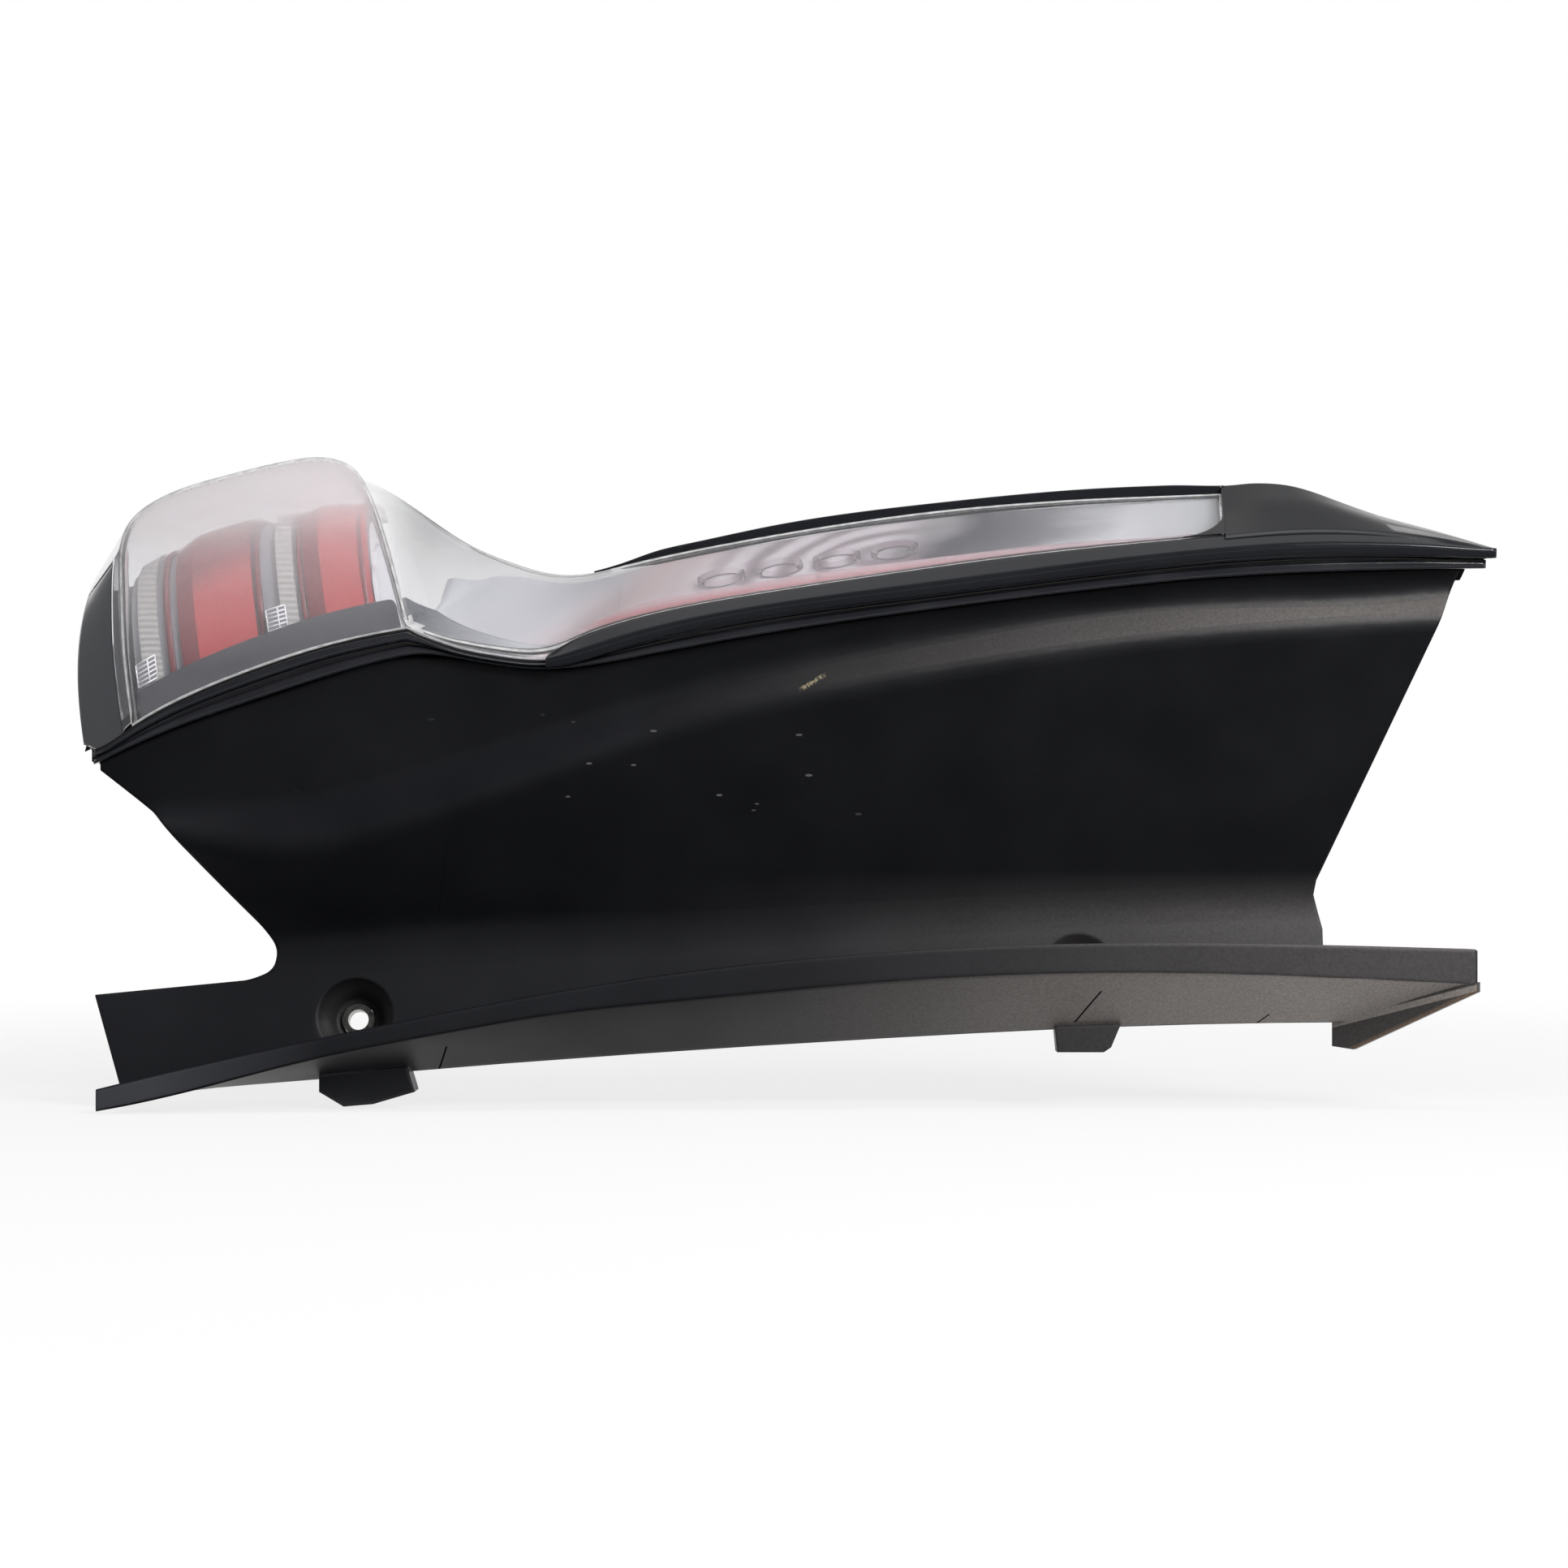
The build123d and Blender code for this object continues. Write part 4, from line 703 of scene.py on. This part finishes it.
foot = at_depth(np.stack([foot_x, np.minimum(rim(foot_x), near_line[:, 1] - 1)], -1), LENS_NEAR)
far_foot = at_depth(np.stack([far_foot_x, np.minimum(rim(far_foot_x), far_line[:, 1] - 1)], -1), LENS_FAR)
cap_share = (CAP_INSET + CAP_LEAN * (near[:, 2] - CAP_FOOT)) / (LENS_DEPTH - CAP_LEAN * (far - near)[:, 2])
cap_share[CAP_ROWS:] = cap_share[CAP_ROWS - 1]
seam = near + (far - near) * cap_share[:, None]
foot_in = towards(foot, near, FOOT_EDGE)
front_in = towards(near, foot, EDGE)
front_out = towards(near, far, EDGE)
back_in = towards(far, near, EDGE)
back_out = towards(far, far_foot, EDGE)
bands = [straight(foot, foot_in, 1), straight(foot_in, front_in, 15),
         eased(front_in, near, front_out, 8)[:, :-1], straight(front_out, seam, 6),
         straight(seam, back_in, 24), eased(back_in, far, back_out, 6)[:, :-1],
         straight(back_out, far_foot, 8), far_foot[:, None]]
lens_grid = slanted(np.concatenate(bands, 1))
lens_grid[..., 2] = np.maximum(lens_grid[..., 2], rim(lens_grid[..., 0]) + RIM_GAP)
lens_cells = quads(*lens_grid.shape[:2], False)[:, ::-1]
band_start = np.cumsum([0] + [band.shape[1] for band in bands])
NEAR_EDGE, TOP, COVERED, FAR_EDGE, BACK = band_start[2:7]
cell_row = lens_cells[:, 3] // lens_grid.shape[1]
cell_col = lens_cells[:, 3] % lens_grid.shape[1]
cell_x = lens_grid[cell_row, cell_col, 0]
in_cap = cell_row < CAP_ROWS - 1
under_cap = in_cap & (cell_col >= COVERED) & (cell_col < FAR_EDGE)
lens = piece("clear_lens_moulding", lens_grid, lens_cells[~under_cap], looks["clear_lens"], "clear_lens")
# Painted highlight, a white line that stands in for light caught in the rounded edges: on the foot, along the
# middle of the near edge, at the crease, on the far edge of the arm and at the end of the window
highlight_edge = (cell_col == 0) | ((cell_col >= NEAR_EDGE + 2) & (cell_col < NEAR_EDGE + 5))
highlight_edge |= (cell_col <= TOP) & (cell_x > KINK_X) & (cell_x < KINK_X + CREASE_EDGE)
highlight_edge |= (cell_col >= FAR_EDGE - 1) & (cell_col < BACK) & (cell_x > FAR_EDGE_START)
highlight_edge |= (cell_row == len(lens_grid) - 2) & (cell_col >= TOP)
# Black where the end cap wraps the far edge and at the foot beside it; the same black twice, since
# the inner face of the wall takes the finish before that of the outer one
blacked = in_cap & (cell_col >= FAR_EDGE)
blacked |= (cell_row < CAP_FOOT_ROWS) & (cell_col >= TOP) & (cell_col < COVERED)
for finish in (edge_highlight_finish, looks["gloss_black"], looks["gloss_black"]):
    lens.data.materials.append(finish)
BLACK_INDEX = len(lens.data.materials) - 1
lens_index = np.where(blacked, BLACK_INDEX, highlight_edge).astype(np.int32)
lens.data.polygons.foreach_set("material_index", lens_index[~under_cap])
thicken(lens, LENS_WALL)
lens.modifiers["wall"].material_offset = -1
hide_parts("outer_lens")

# Black cap over the lower end wall of the cube, cut from the same ruled wall
CAP_PLAY = 0.15
CAP_EDGE_MM = 0.7
cap_rows = slice(0, CAP_ROWS)
cap_start = seam[cap_rows] + (far - near)[cap_rows] * FIT / LENS_DEPTH
cap_grid = np.concatenate([straight(cap_start, back_in[cap_rows], 24), back_in[cap_rows][:, None]], 1)
cap_grid[-1] += CAP_PLAY * (cap_grid[-2] - cap_grid[-1])
cap_grid[..., 2] = np.maximum(cap_grid[..., 2], rim(cap_grid[..., 0]) + RIM_GAP)
cap_cells = quads(*cap_grid.shape[:2], False)[:, ::-1]
cap = piece("end_cap_moulding", cap_grid, cap_cells, looks["gloss_black"], "gloss_black")
thicken(cap, LENS_WALL)
cap_edge = cap.modifiers.new("edge", "BEVEL")
cap_edge.width = CAP_EDGE_MM / 1000
cap_edge.segments = 3
cap_edge.limit_method = "ANGLE"
cap_edge.angle_limit = 1.0
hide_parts("lower_end_cap")

# Bezel of the arm: near strip, tip cap and far strip
STRIP_START_TALL = 0.8
NOSE = 7.0
# Crown of the tip as a share of the rise from its near to its far edge, and what it gains over a run
TIP_CROWN = 0.46
TIP_CROWN_GAIN = 0.1
TIP_CROWN_RUN = 30.0
# Far strip: its end, how far it sinks before that, its heights at the start and behind the lead-in
FAR_STRIP_END = 364.5
FAR_SINK = 0.9
FAR_SINK_RUN = 24.5
FAR_THIN = 2.0
FAR_TALL = 9.0
FAR_LEAD = 30.0
lead_x = ARM_START + STRIP_LEAD * np.linspace(0.02, 1, 24) ** 2
strip_x = np.concatenate([lead_x, np.linspace(ARM_START + STRIP_LEAD + 1, TIP_END - 0.1, 180)])
strip_base = rim(strip_x)
lead = 1 - np.minimum(1, (strip_x - ARM_START) / STRIP_LEAD)
strip_full = np.where(strip_x < LENS_END, natural(ARM_NEAR[3:], strip_x), natural(TIP_NEAR_Z, strip_x))
strip_start = strip_base + STRIP_START_TALL
strip_top = strip_start + (strip_full - strip_start) * np.sqrt(1 - lead * lead)
nose = np.sqrt(1 - np.clip((strip_x - TIP_END + NOSE) / NOSE, 0, 0.97) ** 2)
strip_mid = 0.6 * strip_top + 0.4 * strip_base
strip_top = strip_mid + (strip_top - strip_mid) * nose
strip_base = strip_mid + (strip_base - strip_mid) * nose
strip = rounded_loft(strip_x, [(-38.5, strip_top - 0.4), (-40.2, strip_top), (-45, strip_base + 0.6),
                               (-44.2, strip_base - 3.5), (-42.2, strip_base - 3.5),
                               (-42.2, strip_base + 0.4), (-38.5, strip_base + 0.4)],
                     [0.3, 1.4, 1.6, 0.8, 0.3, 0.3, 0.3])
tip_x = np.linspace(LENS_END + FIT, TIP_END, 120)
tip_base = rim(tip_x)
tip_near = natural(TIP_NEAR_Z, tip_x)
tip_far_y = natural(TIP_FAR_Y, tip_x)
tip_far_z = natural(TIP_FAR_Z, tip_x)
crown = TIP_CROWN + TIP_CROWN_GAIN * smooth((tip_x - LENS_END) / TIP_CROWN_RUN)
tip_mid = tip_near + crown * (tip_far_z - tip_near)
tip = rounded_loft(tip_x, [(-42, tip_near - 1.5), (-40, tip_near), ((tip_far_y - 40) / 2, tip_mid),
                           (tip_far_y, tip_far_z), (tip_far_y, tip_base + 0.4), (-42, tip_base + 0.4)],
                   [0.2, 0.6, 12, 2.2, 0.4, 0.2])
tip = slanted(tip)
far_x = np.linspace(FAR_TOP[0][0], FAR_STRIP_END, 140)
far_high = natural(FAR_TOP, far_x) - FAR_SINK * smooth((far_x - FAR_STRIP_END) / FAR_SINK_RUN + 1)
far_low = far_high - FAR_THIN - (FAR_TALL - FAR_THIN) * np.minimum(1, (far_x - far_x[0]) / FAR_LEAD)
far_strip = rounded_loft(far_x, [(60.2, far_low), (64, far_low), (64, far_high), (60.2, far_high)], 0.8)
bezel = piece("arm_bezel_moulding", *closed_loft([strip, tip, far_strip]), looks["gloss_black"],
              "gloss_black")
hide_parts("arm_bezel")

# Rounded corner of the bezel over the end of the lens window
CORNER_X = 17.0
CORNER_Y = 50.0
CORNER_LAP = 0.8
CORNER_PROUD = 0.35
turn = np.linspace(0, np.pi / 2, 40)
corner_end = LENS_END + CORNER_LAP
bow = np.stack([corner_end - CORNER_X * (1 - np.cos(turn)), LENS_NEAR + CORNER_Y * (1 - np.sin(turn))], -1)
meet = np.broadcast_to([corner_end, LENS_NEAR - FIT], bow.shape)
plan = np.concatenate([straight(bow, meet, 10), meet[:, None]], 1)
ruled = (plan[..., 1] - LENS_NEAR) / LENS_DEPTH
height = (1 - ruled) * natural(ARM_NEAR, plan[..., 0]) + ruled * natural(ARM_FAR, plan[..., 0]) + CORNER_PROUD
corner_grid = slanted(np.concatenate([plan, height[..., None]], -1))
corner = piece("bezel_corner_moulding", corner_grid, quads(*corner_grid.shape[:2], False),
               looks["gloss_black"], "gloss_black")
thicken(corner, 0.5)

# Rounded ridges of the rim, drawn over the flat steps of the housing
COVER = 0.35
RIDGE_SPAN = (-101.7, 457.3)
RIDGE_DROP = 1.4
RIDGE_FOOT = 0.6
GROOVE_SHARE = (0.32, 0.66)
rim_x = np.linspace(*RIDGE_SPAN, 300)
rim_top = rim(rim_x) - RIDGE_DROP
rim_low = natural(PANEL_TOP, rim_x) + RIDGE_FOOT
tall = rim_top - rim_low
upper_step = rim_top - GROOVE_SHARE[0] * tall - COVER
lower_step = rim_top - GROOVE_SHARE[1] * tall + COVER
flange_y = -42 - COVER
ridge_y = -40.5 - COVER
ridges = rounded_loft(rim_x, [(-38, rim_top), (flange_y, rim_top), (flange_y, upper_step),
                              (-37.7, upper_step), (-37.7, lower_step), (ridge_y, lower_step),
                              (ridge_y, rim_low - COVER), (-36.9, rim_low - COVER)],
                      [0.1, 0.6, 0.8, 0.5, 0.5, 0.8, 0.8, 0.1])
# Black plastic off a polished tool, a lighter black than the rest of the housing: a painted sheen that adds
# to the thin bright lines along its roundings
ridge_sheen_finish = moulded("housing_black_painted_sheen", "#1a1b1f", "#26272c", 0.16, 1.5, 0.01,
                       Specular_IOR_Level=1.0)
piece("rim_ridges_moulding", *closed_loft([ridges]), ridge_sheen_finish, "housing_black")

# End of the tray up to the slanted end of the window
TRAY_NEAR = -28.6
TRAY_FAR = 56.6
TRAY_SUNK = (10.0, 5.0)
END_START = 318.0
END_STOP = LENS_END - 1
END_LOW = -1.2
END_RISE = 1.3
END_RISE_RUN = 22.0
end_x, end_y = np.meshgrid(np.linspace(END_START, END_STOP, 34), np.linspace(TRAY_NEAR, TRAY_FAR, 30),
                           indexing="ij")
deep = (end_y - LENS_NEAR) / LENS_DEPTH
end_top = natural(ARM_NEAR, end_x) * (1 - deep) + natural(ARM_FAR, end_x) * deep
end_x = END_START + (end_x - END_START) * (1 + SLANT * deep / (END_STOP - END_START))
sunk = np.interp(end_y, (TRAY_NEAR, TRAY_FAR), TRAY_SUNK)
lift = END_LOW + END_RISE * smooth((end_x - END_START) / END_RISE_RUN)
tray_end = piece("tray_end_moulding", np.stack([end_x, end_y, end_top - sunk + lift], -1),
                 quads(*end_x.shape, False), looks["tray_grey"], "tray_grey")
thicken(tray_end, 1.0)

# Dark flange of the tray at the foot of the wall beside the crease and along the valley, widest at
# the crease: its width is a share of the way from the near to the far outline
FLANGE_TOP = 172.5
FLANGE_END = 92.0
FLANGE_THIN = 0.02
FLANGE_WIDE = 0.2
FLANGE_START = 0.035
FLANGE_GAP = 0.6
valley = (near[:, 2] < FLANGE_TOP) & (near[:, 0] > 0) & (near[:, 0] < FLANGE_END)
climb = np.clip((FLANGE_TOP - near[valley, 2]) / (FLANGE_TOP - CUBE_NEAR[-1][1]), 0, 1)
fade = np.clip((near[valley, 0] - KINK_X) / (FLANGE_END - KINK_X), 0, 1)
width = FLANGE_THIN + FLANGE_WIDE * climb * (1 - fade) ** 1.5
share = FLANGE_START + width[:, None] * np.linspace(0, 1, 12)
flange_grid = near[valley][:, None] + (far - near)[valley][:, None] * share[..., None]
lengthwise, across = np.gradient(flange_grid, axis=(0, 1))
outward = np.cross(lengthwise, across)
outward /= np.linalg.norm(outward, axis=-1, keepdims=True)
flange_grid = flange_grid - (LENS_WALL + FLANGE_GAP) * outward * np.sign(outward[..., 2:])
flange = piece("tray_flange", flange_grid, quads(*flange_grid.shape[:2], False), flange_plastic(),
               "bezel_grey")
thicken(flange, 0.5)

# Front of the sill below the bars, up to the crease
SILL_SPAN = (-83.2, 21.6)
SILL_TALL = 11.9
SILL_GAIN = 0.9
SILL_CORNER = 3.0
sill_x = np.linspace(*SILL_SPAN, 120)
sill_share = (sill_x - sill_x[0]) / np.ptp(sill_x)
sill_foot = rim(sill_x) + 1
turn = np.clip((sill_x - SILL_SPAN[1]) / SILL_CORNER + 1, 0, 1)
sill_high = rim(sill_x) + SILL_TALL + SILL_GAIN * sill_share - SILL_CORNER * (1 - np.sqrt(1 - turn ** 2))
sill_grid = rounded_loft(sill_x, [(-36.9, sill_foot), (-36.9, sill_high), (-36.3, sill_high - 0.2),
                                  (-36.3, sill_foot)], [0.1, 0.25, 0.1, 0.1])
tilt = (0.1 + 0.1 * sill_share)[:, None]
sill_grid[..., 0] -= tilt * (sill_grid[..., 2] - rim(sill_x)[:, None])
piece("sill_front", *closed_loft([sill_grid]), looks["bezel_grey"], "bezel_grey")


# Fine parts behind the front wall of the cube, on the curve that carries the bars
def cube_spot(x, y, rise):
    """Point at a rise over the lens line, pressed down towards the crease and leaning back."""
    x, y, rise = np.broadcast_arrays(*(np.asarray(v, float) for v in (x, y, rise)))
    share = (x - CARRIER_SPAN[0]) / (CARRIER_SPAN[1] - CARRIER_SPAN[0])
    return np.stack([x - LEAN * rise / 60, y, rim(x) + rise * (1 - 0.15 * share ** 2)], -1)


def carried_band(x0, x1, thick, rows=48):
    """Narrow band from x0 to x1 that lies on the carrier's curve, thick in front of it: each row is
    a rectangle with its two front edges cut off."""
    line = traced(CARRIER, np.linspace(0, 1, rows))
    out = traced(CARRIER_OUT, np.linspace(0, 1, rows))
    line[0, 1] = SILL_TOP + FIT
    across = np.array([x0, x0, x0 + 0.4, x1 - 0.4, x1, x1])
    deep = np.array([FIT, thick - 0.4, thick, thick, thick - 0.4, FIT])
    y = line[:, :1] - out[:, :1] * deep
    rise = line[:, 1:] + out[:, 1:] * deep
    return cube_spot(across, y, rise)


# Start, end and thickness of each dark red band beside a bar, a darker copy of the red acrylic: painted shade
# on the bars' flanks and the shadow lines beside them
SHADE_BANDS = [(-70.4, -67.8, 2.4), (-33.8, -31.4, 2.4), (-16.6, -14.6, 2.0), (8.4, 10.6, 4.4)]
piece("bar_shade_bands", *closed_loft([carried_band(*span) for span in SHADE_BANDS]), shaded_red, "red_lens")


def rods(starts, ends, radius, sides=6):
    """Straight round rods: rings of points round both ends, at right angles to the way between."""
    way = ends - starts
    way = way / np.linalg.norm(way, axis=-1, keepdims=True)
    side = np.cross(way, [0, 1, 0])
    up = np.cross(way, side)
    turn = np.linspace(0, 2 * np.pi, sides, endpoint=False)[None, :, None]
    ring = radius * (np.cos(turn) * side[:, None] + np.sin(turn) * up[:, None])
    return np.stack([starts[:, None] + ring, ends[:, None] + ring], 1)


PRISM_Y = -36.5
PRISM_HALF = 3.8
PRISM_RISE = (13.0, 22.0)
PRISM_MID = (-78.7, -26.4)
PRISM_WIRE = 0.28
starts = []
ends = []
for mid in PRISM_MID:
    levels = np.linspace(*PRISM_RISE, 6)
    starts.append(cube_spot(mid - PRISM_HALF, PRISM_Y, levels))
    ends.append(cube_spot(mid + PRISM_HALF, PRISM_Y, levels))
    sides_x = mid + np.array([-PRISM_HALF, 0.2 * PRISM_HALF, PRISM_HALF])
    starts.append(cube_spot(sides_x, PRISM_Y, PRISM_RISE[0]))
    ends.append(cube_spot(sides_x, PRISM_Y, PRISM_RISE[1]))
frames = rods(np.concatenate(starts), np.concatenate(ends), PRISM_WIRE)
# Cut edges of acrylic: thin white lines
white_edge = moulded("white_acrylic_edge", "#e8e8e8", "#fafafa", 0.3, 0.6, 0.01)
piece("prism_frames", *closed_loft(frames), white_edge, "guide_clear")

# Round inner corner of the notch in the side panel: a bow between the middles of the cut's short
# sides, on the face of the panel, which is hollow there
NOTCH = np.array([(-107, 11), (-44, 17), (-34, 21), (-32, 30), (-37, 38), (-79, 86)], float)
NOTCH_FACE = [(13, -9.8), (21, -8.4), (26, -8.4), (34, -10.3), (42, -14.8)]
NOTCH_REACH = 4.6
NOTCH_MIDDLE = np.array([-50, 30])
NOTCH_LAP = 0.02
turns = NOTCH[1:-1]
notch_start = towards(turns, NOTCH[:-2], NOTCH_REACH)
notch_end = towards(turns, NOTCH[2:], NOTCH_REACH)
notch_bow = eased(notch_start, turns, notch_end, 9).reshape(-1, 2)
half = np.linspace(0, 1, 9)[None, :, None]
notch_side = np.where(half < 0.5, notch_start[:, None] + (turns - notch_start)[:, None] * 2 * half,
                      turns[:, None] + (notch_end - turns)[:, None] * (2 * half - 1)).reshape(-1, 2)
notch_side = notch_side + (notch_side - NOTCH_MIDDLE) * NOTCH_LAP
notch_plan = np.stack([notch_bow, notch_side], 1)
notch_y = natural(NOTCH_FACE, notch_plan[..., 1]) - 0.05
notch_grid = np.stack([notch_plan[..., 0], notch_y, notch_plan[..., 1]], -1)
notch = piece("notch_round", notch_grid, quads(*notch_grid.shape[:2], False), looks["satin_black"],
              "satin_black")
thicken(notch, 2.4)

# Camera at the photograph's place
CAMERA = (0.1755, -1.5, 0.0975)
PICTURE_WIDTH = 0.6472
SENSOR = 36
camera = bpy.data.objects.new("camera", bpy.data.cameras.new("camera"))
camera.location = CAMERA
camera.rotation_euler = (np.pi / 2, 0, 0)
camera.data.sensor_width = SENSOR
camera.data.lens = SENSOR * -CAMERA[1] / PICTURE_WIDTH
scene.collection.objects.link(camera)
scene.camera = camera


def sheet(name, corners, finish):
    """Flat stage sheet between four corners in metres."""
    mesh = bpy.data.meshes.new(name)
    mesh.from_pydata(corners, [], [(0, 1, 2, 3)])
    mesh.materials.append(finish)
    made = bpy.data.objects.new(name, mesh)
    scene.collection.objects.link(made)
    return made


# Pale floor that melts into the white background and keeps the shadow near the lamp
FLOOR_Z = cad_low.z - 0.001
SPAN = 8.0
paper, tree, place = blank("white_paper_floor")
path = add(tree, "LightPath")
seen = add(tree, "Math", {0: path.outputs["Is Camera Ray"], 1: path.outputs["Is Glossy Ray"]},
           operation="MAXIMUM")
seen = add(tree, "Math", {0: seen, 1: path.outputs["Is Transmission Ray"]}, operation="MAXIMUM")
centred = add(tree, "Mapping", {"Vector": place, "Location": (-0.17, -0.05, -FLOOR_Z)})
away = add(tree, "VectorMath", {0: centred}, operation="LENGTH")
fade = add(tree, "MapRange", {0: away.outputs["Value"], 1: 0.25, 2: 0.9, 3: 0.8, 4: 1.0},
           interpolation_type="SMOOTHSTEP")
white = add(tree, "Emission", {"Color": (1, 1, 1, 1), "Strength": 1.0})
matt = add(tree, "BsdfDiffuse", {"Color": linear("#e6e6e6")})
share = add(tree, "Math", {0: seen, 1: fade}, operation="MULTIPLY")
mixed = add(tree, "MixShader", {0: share, 1: matt, 2: white})
add(tree, "OutputMaterial", {0: mixed})
sheet("floor", [(-SPAN, -SPAN, FLOOR_Z), (SPAN, -SPAN, FLOOR_Z), (SPAN, SPAN, FLOOR_Z),
                (-SPAN, SPAN, FLOOR_Z)], paper)

# Dark cards out of the picture, which the black mouldings mirror
CARD_Z = FLOOR_Z + 0.002
front_card = sheet("front_card", [(-2, -3, CARD_Z), (2.4, -3, CARD_Z), (2.4, -0.03, CARD_Z),
                                  (-2, -0.03, CARD_Z)],
                   moulded("black_cloth", "#0a0a0b", "#121214", 0.9, 3.0, 0.2))
left_card = sheet("left_card", [(-0.7, 0.1, -0.03), (-0.7, 1.5, -0.03), (-0.7, 1.5, 0.7), (-0.7, 0.1, 0.7)],
                  moulded("grey_card", "#86878c", "#929398", 0.8, 3.0, 0.05))
for card in (front_card, left_card):
    card.visible_camera = False
    card.visible_diffuse = False
    card.visible_shadow = False

# White sheet behind, dim ceiling with a paler middle, dark room round the camera
world = bpy.data.worlds.new("studio")
scene.world = world
world.use_nodes = True
tree = world.node_tree
tree.nodes.clear()
sky = add(tree, "TexCoord").outputs["Generated"]
way = add(tree, "SeparateXYZ", {0: sky})
behind = add(tree, "MapRange", {0: way.outputs[1], 1: -0.95, 2: -0.05, 3: 0.06, 4: 1.0},
             interpolation_type="SMOOTHSTEP")
ceiling = add(tree, "MapRange", {0: way.outputs[2], 1: 0.12, 2: 0.4, 3: 1.0, 4: 0.15},
              interpolation_type="SMOOTHSTEP")
path = add(tree, "LightPath")
glow = add(tree, "Math", {0: path.outputs["Is Glossy Ray"], 1: 0.4, 2: 0.5}, operation="MULTIPLY_ADD")
zenith = add(tree, "MapRange", {0: way.outputs[2], 1: 0.84, 2: 0.93, 3: 0.0, 4: glow})
level = add(tree, "Math", {0: behind, 1: ceiling, 2: zenith}, operation="MULTIPLY_ADD")
level = add(tree, "Math", {0: level, 1: path.outputs["Is Camera Ray"]}, operation="MAXIMUM")
back = add(tree, "Background", {"Color": (1, 1, 1, 1), "Strength": level})
add(tree, "OutputWorld", {0: back})


def softbox(name, place, aim, size, power):
    """Soft area lamp that looks from its place to its aim."""
    lamp = bpy.data.lights.new(name, "AREA")
    lamp.shape = "RECTANGLE"
    lamp.size, lamp.size_y = size
    lamp.energy = power
    made = bpy.data.objects.new(name, lamp)
    made.location = place
    way = (np.array(aim) - np.array(place)).tolist()
    made.rotation_euler = Vector(way).to_track_quat("-Z", "Y").to_euler()
    scene.collection.objects.link(made)
    return made


top_box = softbox("top_box", (0.17, -0.6, 1.2), (0.17, 0, 0.1), (1.4, 0.5), 8)
top_box.visible_glossy = False
softbox("right_box", (1.0, -1.1, 0.8), (0.3, 0, 0.08), (0.6, 0.5), 18)
